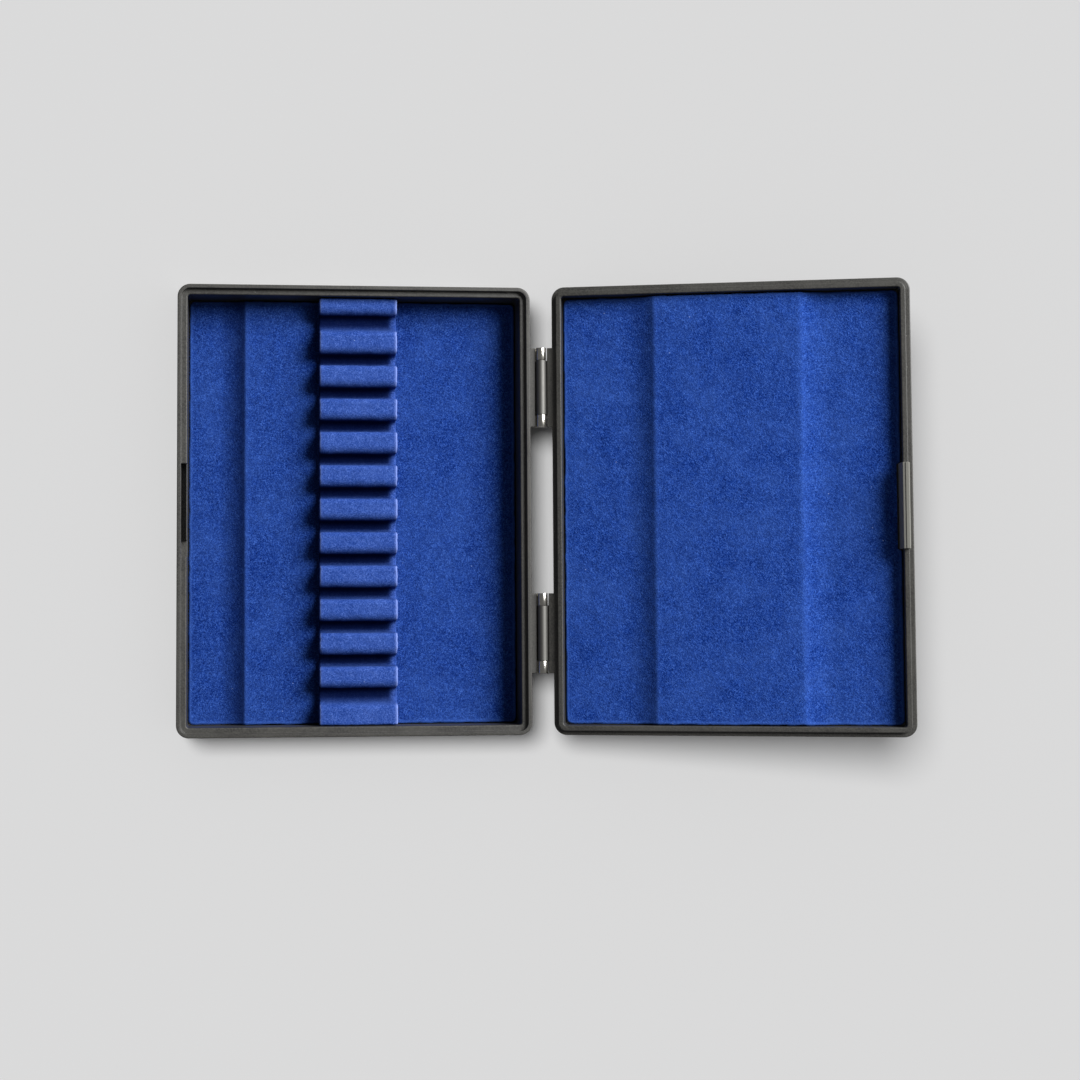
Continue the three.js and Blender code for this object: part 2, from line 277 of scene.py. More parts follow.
def tube(rings: np.ndarray) -> Surface:
    """Returns rings of points, in an array of (rings, points, 3), as a tube closed by two flat ends."""
    rows, columns = rings.shape[:2]
    ring = np.arange(columns)[None]
    faces = [grid_faces(rows, columns, wrap_columns=True), ring[:, ::-1], ring + (rows - 1) * columns]
    return Surface(rings.reshape(-1, 3), faces)


def bar_along_y(section: np.ndarray, y0: float, y1: float, rounding: float = 0.1, steps: int = 3) -> Surface:
    """A closed section in X and Z carried along Y, with rounded ends.

    At each end the section shrinks along its own normals as it moves out, by the two legs of a
    quarter circle, and a flat face closes it.

    Args:
        section: (n, 2) points of the section.
        y0: where the bar starts.
        y1: where it ends.
        rounding: radius of the end edges.
        steps: rings in each rounding.

    Returns:
        The closed surface.
    """
    inset, along = quarter_steps(rounding, steps)
    insets = np.concatenate([inset, inset[::-1]])
    places = np.concatenate([y0 + along, y1 - along[::-1]])
    ring = section[None] - outward_of(section)[None] * insets[:, None, None]
    depth = np.broadcast_to(places[:, None, None], ring.shape[:2] + (1,))
    return tube(np.concatenate([ring[..., :1], depth, ring[..., 1:]], axis=2)).outward()


def soft_noise(x: np.ndarray, y: np.ndarray, cell: float, seed: int) -> np.ndarray:
    """Random heights from -1 to 1 on a lattice, joined by smooth steps between its nodes.

    Args:
        x: places along one axis.
        y: places along the other, in the same shape.
        cell: the lattice's spacing.
        seed: which heights.

    Returns:
        The heights, in the shape of x.
    """
    size = 256
    table = np.random.default_rng(seed).uniform(-1, 1, (size, size))
    i, j = np.floor(x / cell).astype(int), np.floor(y / cell).astype(int)
    s, t = x / cell - i, y / cell - j
    s, t = s * s * (3 - 2 * s), t * t * (3 - 2 * t)
    near = table[i % size, j % size] * (1 - s) + table[(i + 1) % size, j % size] * s
    far = table[i % size, (j + 1) % size] * (1 - s) + table[(i + 1) % size, (j + 1) % size] * s
    return near * (1 - t) + far * t


def bell(value: np.ndarray, at: float, width: float) -> np.ndarray:
    """Returns 1 at a place, and less on both sides of it: 1/e at that width from it."""
    return np.exp(-(((value - at) / width) ** 2))


def draped(value: np.ndarray, foot: float, crease: float, power: float) -> np.ndarray:
    """Returns a sheet's rise from 0 at a soft foot to 1 at a crease: the share of the way, to a power."""
    return np.clip((value - foot) / (crease - foot), 0, 1) ** power


def smooth_step(value: np.ndarray, start: float, end: float) -> np.ndarray:
    """Returns 0 before start and 1 after end, by the cubic 3t² - 2t³ between them."""
    share = np.clip((value - start) / (end - start), 0, 1)
    return share * share * (3 - 2 * share)


def placed(name: str, data: bpy.types.ID) -> bpy.types.Object:
    """Returns a new object in the scene, at the origin, that shows the data."""
    made = bpy.data.objects.new(name, data)
    bpy.context.scene.collection.objects.link(made)
    return made


def mesh_piece(name: str, surface: Surface, half: Half, material: bpy.types.Material) -> bpy.types.Object:
    """Makes a mesh object of a surface, at the origin, with its place in its points.

    Args:
        name: the piece's name.
        surface: the piece, in its half's own axes.
        half: the half of the case that it rides on.
        material: its finish.

    Returns:
        The new object, riding on its body.
    """
    mesh = bpy.data.meshes.new(name)
    counts = np.concatenate([np.full(len(corners), corners.shape[1]) for corners in surface.faces])
    loops = np.concatenate([corners.ravel() for corners in surface.faces])
    mesh.vertices.add(len(surface.points))
    mesh.loops.add(len(loops))
    mesh.polygons.add(len(counts))
    mesh.vertices.foreach_set("co", half.to_row(surface.points).ravel())
    mesh.loops.foreach_set("vertex_index", loops)
    mesh.polygons.foreach_set("loop_start", np.cumsum(counts) - counts)
    mesh.polygons.foreach_set("use_smooth", np.ones(len(counts), bool))
    mesh.update(calc_edges=True)
    mesh.validate()
    for mark, values in surface.marks.items():
        mesh.attributes.new(mark, "FLOAT", "POINT").data.foreach_set("value", values.astype(np.float32))
    mesh.materials.append(material)
    piece = placed(name, mesh)
    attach(piece, half.value)
    log.info("%s: %d faces on %s", name, len(counts), half.value)
    return piece


def weld(piece: bpy.types.Object) -> None:
    """Joins the points of a mesh that lie in one place, and drops the faces that closes up."""
    work = bmesh.new()
    work.from_mesh(piece.data)
    bmesh.ops.remove_doubles(work, verts=work.verts, dist=WELD)
    work.to_mesh(piece.data)
    work.free()


def crisp(piece: bpy.types.Object, angle: float = 38) -> None:
    """Keeps edges past that angle sharp, and lets broad flat faces set the shading at their edges."""
    weld(piece)
    piece.data.set_sharp_from_angle(angle=math.radians(angle))
    weighted = piece.modifiers.new("weighted_normals", "WEIGHTED_NORMAL")
    weighted.keep_sharp = True


def stand_for(piece: bpy.types.Object, node: str) -> bpy.types.Object:
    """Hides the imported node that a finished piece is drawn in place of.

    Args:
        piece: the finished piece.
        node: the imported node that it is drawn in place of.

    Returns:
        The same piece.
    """
    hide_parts(node)
    return piece


# ---- Finishes ----------------------------------------------------------------------------------


def linear(colour: str) -> tuple[float, float, float, float]:
    """Returns an sRGB hex colour, such as "#204080", as linear red, green, blue and alpha."""
    parts = [int(colour[k : k + 2], 16) / 255 for k in (1, 3, 5)]
    return (*(part / 12.92 if part <= 0.04045 else ((part + 0.055) / 1.055) ** 2.4 for part in parts), 1.0)


def per_metre(size_mm: float) -> float:
    """Returns the texture scale that makes a pattern's features that many millimetres wide."""
    return 1 / (size_mm * MM)


class Recipe:
    """A material being built: its node tree, its shader and the object's coordinates."""

    def __init__(self, name: str) -> None:
        """Starts a material of that name with a plain shader."""
        self.material = bpy.data.materials.new(name)
        self.material.use_nodes = True
        self.tree = self.material.node_tree
        self.shader = self.tree.nodes["Principled BSDF"]
        self.place = self.node("ShaderNodeTexCoord").outputs["Object"]

    def node(self, kind: str, inputs: dict | None = None, **settings: object) -> bpy.types.Node:
        """Adds a node.

        Args:
            kind: the node's Blender type.
            inputs: values or sockets for its inputs, by the input's name or number.
            settings: values for its own properties.

        Returns:
            The new node.
        """
        made = self.tree.nodes.new(kind)
        for name, value in settings.items():
            setattr(made, name, value)
        for name, value in (inputs or {}).items():
            self.feed(made.inputs[name], value)
        return made

    def feed(self, socket: bpy.types.NodeSocket, value: object) -> None:
        """Links a socket to an input, or sets the input's value."""
        if isinstance(value, bpy.types.NodeSocket):
            self.tree.links.new(value, socket)
        else:
            socket.default_value = value

    def dress(self, **values: object) -> None:
        """Sets the shader's inputs, named with _ for a space."""
        for name, value in values.items():
            self.feed(self.shader.inputs[name.replace("_", " ").title().replace("Ior", "IOR")], value)

    def attribute(self, name: str) -> bpy.types.NodeSocket:
        """Returns the number that the mesh gives at each point under that name."""
        return self.node("ShaderNodeAttribute", attribute_name=name).outputs["Fac"]

    def noise(self, size_mm: float, detail: float) -> bpy.types.NodeSocket:
        """Returns a noise from 0 to 1 with features of that size."""
        values = {"Vector": self.place, "Scale": per_metre(size_mm), "Detail": detail, "Roughness": 0.5}
        return self.node("ShaderNodeTexNoise", values).outputs["Fac"]

    def strokes(self, length_mm: float, width_mm: float) -> bpy.types.NodeSocket:
        """Short streaks that lie in three directions: the greatest of three stretched noises.

        Args:
            length_mm: how long the streaks are.
            width_mm: how wide they are.

        Returns:
            Their height, from 0 to 1.
        """
        greatest = None
        for k, degrees in enumerate((15, 77, 134)):
            values = {
                "Vector": self.place,
                "Location": (0.011 * k, 0.007 * k, 0.003 * k),
                "Rotation": (0.3 * k, 0.2, math.radians(degrees)),
                "Scale": (length_mm * MM, width_mm * MM, width_mm * MM),
            }
            turned = self.node("ShaderNodeMapping", values, vector_type="TEXTURE").outputs["Vector"]
            streaks = {"Vector": turned, "Scale": 1.0, "Detail": 1.0, "Roughness": 0.6}
            made = self.node("ShaderNodeTexNoise", streaks).outputs["Fac"]
            if greatest is not None:
                made = self.node("ShaderNodeMath", {0: greatest, 1: made}, operation="MAXIMUM").outputs[0]
            greatest = made
        return greatest

    def ramp(self, value: bpy.types.NodeSocket, stops: list[tuple[float, str]]) -> bpy.types.NodeSocket:
        """Returns a colour that goes through hex stops as value goes from 0 to 1."""
        made = self.node("ShaderNodeValToRGB", {"Fac": value})
        band = made.color_ramp
        for k, (place, colour) in enumerate(stops):
            stop = band.elements[k] if k < 2 else band.elements.new(place)
            stop.position, stop.color = place, linear(colour)
        return made.outputs["Color"]

    def span(
        self, value: bpy.types.NodeSocket, old: tuple[float, float], new: tuple[float, float]
    ) -> bpy.types.NodeSocket:
        """Returns value taken from one range to another, held at the ends."""
        values = {"Value": value, 1: old[0], 2: old[1], 3: new[0], 4: new[1]}
        return self.node("ShaderNodeMapRange", values, clamp=True).outputs["Result"]

    def specks(self, cell_mm: float, radius_mm: float, share: float) -> bpy.types.NodeSocket:
        """Small scattered dots.

        Args:
            cell_mm: the size of the cells, each of which has room for one dot.
            radius_mm: a dot's radius. It fades out from 0.6 of that.
            share: the share of the cells that have a dot.

        Returns:
            1 in the dots and 0 elsewhere.
        """
        values = {"Vector": self.place, "Scale": per_metre(cell_mm), "Randomness": 1.0}
        cells = self.node("ShaderNodeTexVoronoi", values)
        radius = radius_mm / cell_mm
        inside = self.span(cells.outputs["Distance"], (radius, 0.6 * radius), (0, 1))
        split = self.node("ShaderNodeSeparateColor", {"Color": cells.outputs["Color"]})
        chosen = self.span(split.outputs["Red"], (1 - share, 1 - share + 0.01), (0, 1))
        return self.node("ShaderNodeMath", {0: inside, 1: chosen}, operation="MULTIPLY").outputs[0]

    def mixed(self, share: bpy.types.NodeSocket, base: object, colour: str) -> bpy.types.NodeSocket:
        """Mixes a colour into another.

        Args:
            share: how much of the colour there is, from 0 to 1.
            base: the colour under it, as a socket or as linear numbers.
            colour: the colour mixed in, in hex.

        Returns:
            The mixed colour.
        """
        made = self.node("ShaderNodeMix", data_type="RGBA")
        colours = [socket for socket in made.inputs if socket.type == "RGBA"]
        self.feed(made.inputs[0], share)
        self.feed(colours[0], base)
        self.feed(colours[1], linear(colour))
        return next(socket for socket in made.outputs if socket.type == "RGBA")

    def bump(self, height: bpy.types.NodeSocket, depth_mm: float, strength: float) -> bpy.types.NodeSocket:
        """Returns the normal of a relief that deep."""
        values = {"Height": height, "Distance": depth_mm * MM, "Strength": strength}
        return self.node("ShaderNodeBump", values).outputs["Normal"]


@dataclass(frozen=True)
class AbsPlastic:
    """Injection-moulded ABS, black with a satin grain.

    The mould's fine spark-eroded grain gives broad grey highlights, and handling leaves faint
    rubbed patches and a few specks of light dust. The catch is painted a pale grey all over: painted
    light, standing in for the light that its top face catches.
    """

    colour: str = "#232220"
    rubbed: str = "#3e3d39"
    painted_light_grey: str = "#6a6963"
    dust: str = "#8d8c86"
    grain_mm: float = 0.36
    grain_depth_mm: float = 0.024
    specks: tuple[float, float, float] = (2.6, 0.13, 0.18)  # cell and radius in millimetres, and share
    roughness: tuple[float, float] = (0.46, 0.54)

    def material(self) -> bpy.types.Material:
        """Builds the material."""
        recipe = Recipe("black_abs_moulding")
        patches = recipe.noise(9.0, detail=3)
        grain = recipe.noise(self.grain_mm, detail=2)
        base = recipe.mixed(recipe.span(patches, (0.4, 0.7), (0, 0.45)), linear(self.colour), self.rubbed)
        base = recipe.mixed(recipe.span(grain, (0.38, 0.62), (0, 0.8)), base, self.rubbed)
        base = recipe.mixed(recipe.specks(*self.specks), base, self.dust)
        # Painted light: the catch's attribute mixes in a pale grey, standing in for the light on the catch's
        # top.
        base = recipe.mixed(recipe.attribute("rubbed"), base, self.painted_light_grey)
        recipe.dress(
            base_color=base,
            roughness=recipe.span(patches, (0.3, 0.7), self.roughness),
            normal=recipe.bump(grain, self.grain_depth_mm, 0.8),
            ior=1.53,
        )
        return recipe.material


@dataclass(frozen=True)
class NylonFlock:
    """Electrostatic flock: short nylon fibres that stand on an adhesive coat, with some longer loose ones.

    Standing fibres look dark where the eye sees down between them. Their tips clump, so the colour
    changes every few fibres, and the pile picks up pale lint. A fibre is too fine to show, so the
    streaks are drawn wider. Two mesh attributes paint light and shade into the colour: a pale colour
    for a painted highlight along edges and creases, and a near-black blue for painted shade.
    """

    name: str
    deep: str
    colour: str
    tip: str
    # The next two colours paint light: a pale one for the painted highlight, and a near-black blue for
    # painted shade.
    highlight_colour: str
    shade_colour: str = "#02082c"
    lint: str = "#7f93c4"
    length_mm: float = 0.6
    width_mm: float = 0.19
    loose_mm: float = 1.7
    mottle_mm: float = 1.7
    lay_mm: float = 8.0
    pile_mm: float = 0.2
    specks: tuple[float, float, float] = (2.4, 0.13, 0.10)  # cell and radius in millimetres, and share
    # How much of the painted highlight colour and of the painted shade colour is mixed in, at most.
    most_highlight: float = 0.75
    most_shade: float = 0.92
    sheen: float = 0.05

    def material(self) -> bpy.types.Material:
        """Builds the material."""
        recipe = Recipe(self.name)
        fibres = recipe.strokes(self.length_mm, self.width_mm)
        mottle = recipe.noise(self.mottle_mm, detail=3)
        lay = recipe.noise(self.lay_mm, detail=2)
        base = recipe.ramp(fibres, [(0.46, self.deep), (0.60, self.colour), (0.75, self.tip)])
        base = recipe.mixed(recipe.span(mottle, (0.35, 0.65), (0.38, 0)), base, self.deep)
        base = recipe.mixed(recipe.span(lay, (0.35, 0.75), (0, 0.18)), base, self.tip)
        loose = recipe.strokes(self.loose_mm, self.width_mm)
        base = recipe.mixed(recipe.span(loose, (0.64, 0.74), (0, 0.5)), base, self.tip)
        base = recipe.mixed(recipe.specks(*self.specks), base, self.lint)
        # Painted light: the pale colour is mixed in as a painted highlight, and the near-black blue as
        # painted shade, each where its mesh attribute says.
        marks = (("splay", self.most_highlight, self.highlight_colour), ("thin", self.most_shade, self.shade_colour))
        for mark, most, colour in marks:
            base = recipe.mixed(recipe.span(recipe.attribute(mark), (0, 1), (0, most)), base, colour)
        recipe.dress(
            base_color=base,
            roughness=0.95,
            specular_ior_level=0.02,
            sheen_weight=self.sheen,
            sheen_roughness=0.5,
            sheen_tint=linear(self.tip),
            normal=recipe.bump(fibres, self.pile_mm, 0.5),
        )
        return recipe.material


@dataclass(frozen=True)
class PlatedSteel:
    """Thin steel strip, rolled and nickel plated, with drawing lines along the barrel.

    The two outer knuckles are bright, and the long middle one is rubbed satin by the hand. Its copy
    of the plate is given a much darker colour: painted shade, which dims its reflection.
    """

    name: str
    colour: str
    roughness: tuple[float, float]

    def material(self) -> bpy.types.Material:
        """Builds the material."""
        recipe = Recipe(self.name)
        stretch = recipe.node("ShaderNodeMapping", {"Vector": recipe.place, "Scale": (1.0, 0.08, 1.0)})
        values = {"Vector": stretch.outputs["Vector"], "Scale": per_metre(0.12), "Detail": 2.0}
        lines = recipe.node("ShaderNodeTexNoise", values).outputs["Fac"]
        recipe.dress(
            base_color=linear(self.colour),
            metallic=1.0,
            roughness=recipe.span(lines, (0.3, 0.7), self.roughness),
            normal=recipe.bump(lines, 0.002, 0.3),
        )
        return recipe.material


@dataclass(frozen=True)
class DrawnWire:
    """Drawn steel wire, dull on its cropped ends."""

    colour: str = "#a8a59d"

    def material(self) -> bpy.types.Material:
        """Builds the material."""
        recipe = Recipe("drawn_steel_wire")
        grain = recipe.noise(0.1, detail=2)
        recipe.dress(
            base_color=linear(self.colour),
            metallic=1.0,
            roughness=recipe.span(grain, (0.3, 0.7), (0.3, 0.45)),
            normal=recipe.bump(grain, 0.005, 0.4),
        )
        return recipe.material


@dataclass(frozen=True)
class GreyBoard:
    """Recycled grey board: pressed paper fibre with flecks."""

    colour: str = "#8a857a"
    fleck: str = "#5f5b53"

    def material(self) -> bpy.types.Material:
        """Builds the material."""
        recipe = Recipe("recycled_grey_board")
        fibre = recipe.noise(0.5, detail=4)
        flecks = recipe.span(fibre, (0.45, 0.7), (0, 1))
        recipe.dress(
            base_color=recipe.mixed(flecks, linear(self.colour), self.fleck),
            roughness=0.92,
            normal=recipe.bump(fibre, 0.05, 0.5),
        )
        return recipe.material


@dataclass(frozen=True)
class OpenFoam:
    """Open-cell polyurethane foam: pale, with dark open cells about half a millimetre across."""

    colour: str = "#d2cfc4"
    cell: str = "#9a968b"

    def material(self) -> bpy.types.Material:
        """Builds the material."""
        recipe = Recipe("open_cell_foam")
        values = {"Vector": recipe.place, "Scale": per_metre(0.6)}
        cells = recipe.node("ShaderNodeTexVoronoi", values).outputs["Distance"]
        recipe.dress(
            base_color=recipe.mixed(recipe.span(cells, (0.1, 0.5), (1, 0)), linear(self.colour), self.cell),
            roughness=0.95,
            normal=recipe.bump(cells, 0.12, 0.6),
        )
        return recipe.material


@dataclass(frozen=True)
class PaleFloor:
    """A matt pale sheet, with no gloss."""

    colour: str = "#e6e6e6"

    def material(self) -> bpy.types.Material:
        """Builds the material."""
        recipe = Recipe("pale_matt_sheet")
        recipe.dress(base_color=linear(self.colour), roughness=1.0, specular_ior_level=0.0)
        return recipe.material


@dataclass(frozen=True)
class Finishes:
    """One material for each finish on the case."""

    plastic: bpy.types.Material
    flock: bpy.types.Material
    lid_flock: bpy.types.Material
    rack_flock: bpy.types.Material
    plate: bpy.types.Material
    satin_plate: bpy.types.Material
    wire: bpy.types.Material
    board: bpy.types.Material
    foam: bpy.types.Material

    @classmethod
    def build(cls) -> "Finishes":
        """Builds every material."""
        return cls(
            plastic=AbsPlastic().material(),
            flock=NylonFlock("royal_blue_flock", "#061950", "#14337e", "#3d5fa9", "#3b5dac").material(),
            # A lighter copy of the tray's flock: painted light, which makes up for the lid being tilted away
            # from the key light.
            lid_flock=NylonFlock("lid_blue_flock_painted_lighter", "#061b55", "#153786", "#4165b3", "#3e62b4").material(),
            rack_flock=NylonFlock("rack_blue_flock", "#173072", "#2a478f", "#4f6ab4", "#7f92d0").material(),
            plate=PlatedSteel("bright_nickel_plate", "#c4c1b9", (0.2, 0.26)).material(),
            # A darker copy of the bright plate: painted shade that dims the middle knuckle's reflection.
            satin_plate=PlatedSteel("dimmed_satin_nickel_plate", "#6b6a67", (0.54, 0.62)).material(),
            wire=DrawnWire().material(),
            board=GreyBoard().material(),
            foam=OpenFoam().material(),
        )


# ---- The two mouldings --------------------------------------------------------------------------


@dataclass(frozen=True)
class Moulding:
    """Sizes that both mouldings share, in millimetres."""

    corner: float = 3.0
    edge: float = 2.2
    wall: float = 2.35
    floor: float = 1.6
    band: float = 0.95
    band_drop: float = 0.1
    corner_steps: int = 12
    step: float = 2.5
    jamb: float = 0.02  # half the width of a cut's sloping end, so that it is nearly square
    fillet: float = 0.55  # from the wall's inner face to where the flat floor starts

    @property
    def past_wall(self) -> float:
        """How far in from the outer face the flat floors start."""
        return self.wall + self.fillet

    def path(self, breaks: tuple[float, ...] = ()) -> tuple[np.ndarray, np.ndarray]:
        """The outer rim of a half, as a closed path.

        It runs along straight sides and round quarter circles, with a pair of points close
        together at each break on the sides that run along the hinges.

        Args:
            breaks: places along Y where a section of the rim changes.

        Returns:
            The path's points about the half's middle, and its outward normals, both (n, 2).
        """
        x, y = LAYOUT.width / 2 - self.corner, LAYOUT.length / 2 - self.corner
        across = np.linspace(-x, x, round(2 * x / self.step) + 1)
        along = np.linspace(-y, y, round(2 * y / self.step) + 1)
        pairs = [place + side * self.jamb for place in breaks for side in (-1, 1)]
        along = np.unique(np.concatenate([along, pairs]))
        turn = np.linspace(0, math.pi / 2, self.corner_steps + 1)[1:-1]
        places, normals = [], []
        sides = ((across, (x, -y), 1), (along, (x, y), 0), (across, (-x, y), 1), (along, (-x, -y), 0))
        for quarter, (run, corner, fixed) in enumerate(sides):
            angle = (quarter - 1) * math.pi / 2
            normal = np.array([math.cos(angle), math.sin(angle)]).round(12)
            run = run if quarter < 2 else run[::-1]
            edge = np.empty((len(run), 2))
            edge[:, 1 - fixed] = run
            edge[:, fixed] = normal[fixed] * (LAYOUT.length if fixed else LAYOUT.width) / 2
            arc = np.stack([np.cos(angle + turn), np.sin(angle + turn)], axis=1)
            places += [edge, np.array(corner) + self.corner * arc]
            normals += [np.repeat(normal[None], len(run), axis=0), arc]
        return np.concatenate(places), np.concatenate(normals)

    def shell(self, profiles: np.ndarray, places: np.ndarray, normals: np.ndarray) -> Surface:
        """Carries a wall's profile round the rim, and closes it with two flat floors.

        Each point of the profile goes in from the path along the path's normal, and up.

        Args:
            profiles: (stations, n, 2) how far in and how high each point is, from the underside's
                edge, up the outside, over the rim and down the inside to the floor's edge.
            places: (stations, 2) the path.
            normals: (stations, 2) its outward normals.

        Returns:
            The closed surface, about the half's middle.
        """
        flat = places[:, None] - normals[:, None] * profiles[..., :1]
        points = np.concatenate([flat, profiles[..., 1:]], axis=2)
        rows, columns = profiles.shape[:2]
        ring = np.arange(rows)[None] * columns
        faces = [grid_faces(rows, columns, wrap_rows=True), ring, ring[:, ::-1] + columns - 1]
        return Surface(points.reshape(-1, 3), faces).outward()


@dataclass(frozen=True)
class HingeSeat:
    """The moulded flange beside a hinge, with the stop lip under the barrel, in millimetres.

    Its axes are the hinge's: the moulding is on the +X side, and the axis is at the origin.
    """

    length: float = 19.0
    lip_length: float = 13.2
    tip: float = 1.4
    root: float = 3.1
    top: float = -0.12
    bottom: float = -3.2
    slot: tuple[float, float] = (-1.25, -0.8)
    lip_top: float = -1.5
    stop_gap: float = 0.15
    foot_gap: float = 0.02
    edge: float = 0.14

    def surface(self, y: float) -> Surface:
        """Returns the flange and lip of the hinge with its middle at y.

        The flange is two bars, above and below the slot that holds the hinge's leaf.
        """
        root, tip, foot = self.root, self.tip, self.bottom + self.foot_gap
        slot_low, slot_high = self.slot
        lean = math.tan(LAYOUT.tilt / 2)
        above = [(root, slot_high), (root, self.top), (tip, self.top), (tip, slot_high)]
        below = [(root, self.bottom), (root, slot_low), (tip, slot_low), (tip, self.bottom)]
        stop = [(z * lean + self.stop_gap, z) for z in (self.lip_top, foot)]
        lip = [(root, foot), (root, self.lip_top), *stop]
        bars = (
            (above, (0, 0, 0.16, 0.05), self.length),
            (below, (0, 0, 0.05, 0.3), self.length),
            (lip, (0, 0, 0.2, 0.3), self.lip_length),
        )
        made = []
        for corners, radii, length in bars:
            section = section_of(corners, radii, steps=4)
            made.append(bar_along_y(section, y - length / 2, y + length / 2, rounding=self.edge))
        return joined(*made)


def beside_tray(surface: Surface) -> Surface:
    """Returns a hinge-side surface, drawn on +X of the axis, on the tray's side of it instead.

    X is reversed, so the faces are turned to point out again.
    """
    x, y, z = surface.points.T
    points = np.stack([LAYOUT.axis_x - x, y, LAYOUT.parting + z], axis=1)
    return Surface(points, [corners[:, ::-1] for corners in surface.faces])


@dataclass(frozen=True)
class TrayMoulding(Moulding):
    """The deep half: a stepped rim, hinge seats and the slot for the catch."""

    ledge_drop: float = 1.3
    slot_half: float = 11.0
    slot_far: float = 2.05
    slot_depth: float = 5.6
    lip_drop: float = 3.4
    notch_end: float = -7.0
    slot_draft: float = 0.03
    groove_depth: float = 0.25
    groove_drop: float = 2.3
    groove_run: float = 0.8
    ledge_middle: float = 1.35
    seat: HingeSeat = field(default_factory=HingeSeat)

    def profile(self, slotted: bool, notched: bool) -> np.ndarray:
        """A section of the tray's wall, with the same number of points wherever it is.

        Args:
            slotted: in the catch's slot, where the ledge drops away behind the band.
            notched: at the slot's end, where the inner lip is cut away too.

        Returns:
            (n, 2) how far in from the outer face, and how high.
        """
        plane, top = LAYOUT.parting, LAYOUT.parting - self.band_drop
        ledge = plane - self.ledge_drop
        deep = plane - self.slot_depth
        lip = deep if notched else plane - self.lip_drop
        inward = self.past_wall
        between = np.linspace(top, ledge, 5)[1:4]
        groove = plane - self.groove_drop
        if slotted:
            step = [
                (self.band, between[0]),
                (self.band - self.groove_depth, groove),
                (self.band, groove - self.groove_run),
                (self.band, deep),
                (self.slot_far, deep),
                (self.slot_far + self.slot_draft, lip),
                (self.wall, lip),
            ]
        else:
            step = [(self.band, height) for height in between]
            step += [(across, ledge) for across in (self.band, self.ledge_middle, self.slot_far, self.wall)]
        corners = [(inward, 0), (0, 0), (0, top), (self.band, top), *step]
        corners += [(self.wall, self.floor), (inward, self.floor)]
        radii = [0, self.edge, 0.24, 0.14, 0, 0, 0, 0.12, 0, 0, 0.28, 0.4, 0]
        if slotted:
            radii[8:11] = [0.1, 0.06, 0.1]
        return filleted(corners, radii, steps=5)

    def surface(self) -> Surface:
        """Returns the whole moulding, in the row frame."""
        breaks = (-self.slot_half, self.notch_end, self.slot_half)
        places, normals = self.path(breaks)
        y = places[:, 1]
        left = normals[:, 0] < -0.99
        slotted = left & (abs(y) < self.slot_half)
        notched = slotted & (y < self.notch_end)
        kinds = np.stack([self.profile(False, False), self.profile(True, False), self.profile(True, True)])
        shell = self.shell(kinds[slotted.astype(int) + notched.astype(int)], places, normals)
        seats = [beside_tray(self.seat.surface(middle)) for middle in LAYOUT.hinges.values()]
        return joined(shell, *seats)

    def make(self, finishes: Finishes) -> bpy.types.Object:
        """Makes the piece."""
        piece = mesh_piece("tray_moulding", self.surface(), Half.TRAY, finishes.plastic)
        crisp(piece)
        return stand_for(piece, "tray_shell")


@dataclass(frozen=True)
class LidMoulding(Moulding):
    """The shallow half: a tongue round its rim, hinge seats, and the snap catch."""

    height: float = 5.0
    play: float = 0.15
    tongue_rise: float = 1.0
    catch_half: float = 10.0
    blade: float = 0.8
    blade_rise: float = 3.2
    bead: float = 0.2
    bead_at: float = 2.3
    bead_half: float = 0.6
    block_in: float = 3.15
    block_rise: float = 3.0
    block_top: float = 0.65
    block_heel: float = -0.6
    block_foot: float = -3.0
    seat: HingeSeat = field(default_factory=HingeSeat)

    @property
    def tongue_in(self) -> float:
        """How far in from the outer face the tongue starts."""
        return self.band + self.play

    def profile(self) -> np.ndarray:
        """Returns a section of the lid's wall: how far in, and how high above the parting plane."""
        inward = self.past_wall
        corners = [
            (inward, -self.height),
            (0, -self.height),
            (0, -self.band_drop),
            (self.tongue_in, -self.band_drop),
            (self.tongue_in, self.tongue_rise),
            (self.wall, self.tongue_rise),
            (self.wall, self.floor - self.height),
            (inward, self.floor - self.height),
        ]
        return filleted(corners, [0, self.edge, 0.24, 0.1, 0.2, 0.26, 0.4, 0], steps=5)

    def catch(self) -> Surface:
        """Returns the catch: a thin blade with an outward bead, backed by a sloped block."""
        face = LAYOUT.width / 2
        outer = face - self.tongue_in
        inner = outer - self.blade
        corners = [
            (face - self.block_in, self.block_foot),
            (outer, self.block_foot),
            (outer, self.bead_at - self.bead_half),
            (outer + self.bead, self.bead_at),
            (outer, self.bead_at + self.bead_half),
            (outer, self.blade_rise),
            (inner, self.blade_rise),
            (inner, self.block_rise),
            (inner - self.block_top, self.block_rise),
            (face - self.block_in, self.block_heel),
        ]
        radii = [0, 0, 0.15, 0.15, 0.15, 0.1, 0.1, 0.06, 0.2, 0.15]
        section = section_of(corners, radii, steps=4)
        catch = bar_along_y(section, -self.catch_half, self.catch_half, rounding=0.15)
        # The whole catch is marked for a pale grey: painted light, standing in for the light on its top.
        catch.marks["rubbed"] = np.ones(len(catch.points))
        return catch

    def surface(self) -> Surface:
        """Returns the whole moulding, in the lid's axes."""
        places, normals = self.path()
        profiles = np.repeat(self.profile()[None], len(places), axis=0)
        half = joined(self.shell(profiles, places, normals), self.catch())
        half.points[:, 0] += LAYOUT.axis_x
        seats = [self.seat.surface(middle) for middle in LAYOUT.hinges.values()]
        return joined(half, *seats)

    def make(self, finishes: Finishes) -> bpy.types.Object:
        """Makes the piece."""
        piece = mesh_piece("lid_moulding", self.surface(), Half.LID, finishes.plastic)
        crisp(piece)
        return stand_for(piece, "lid_shell")


# ---- Hinges -------------------------------------------------------------------------------------


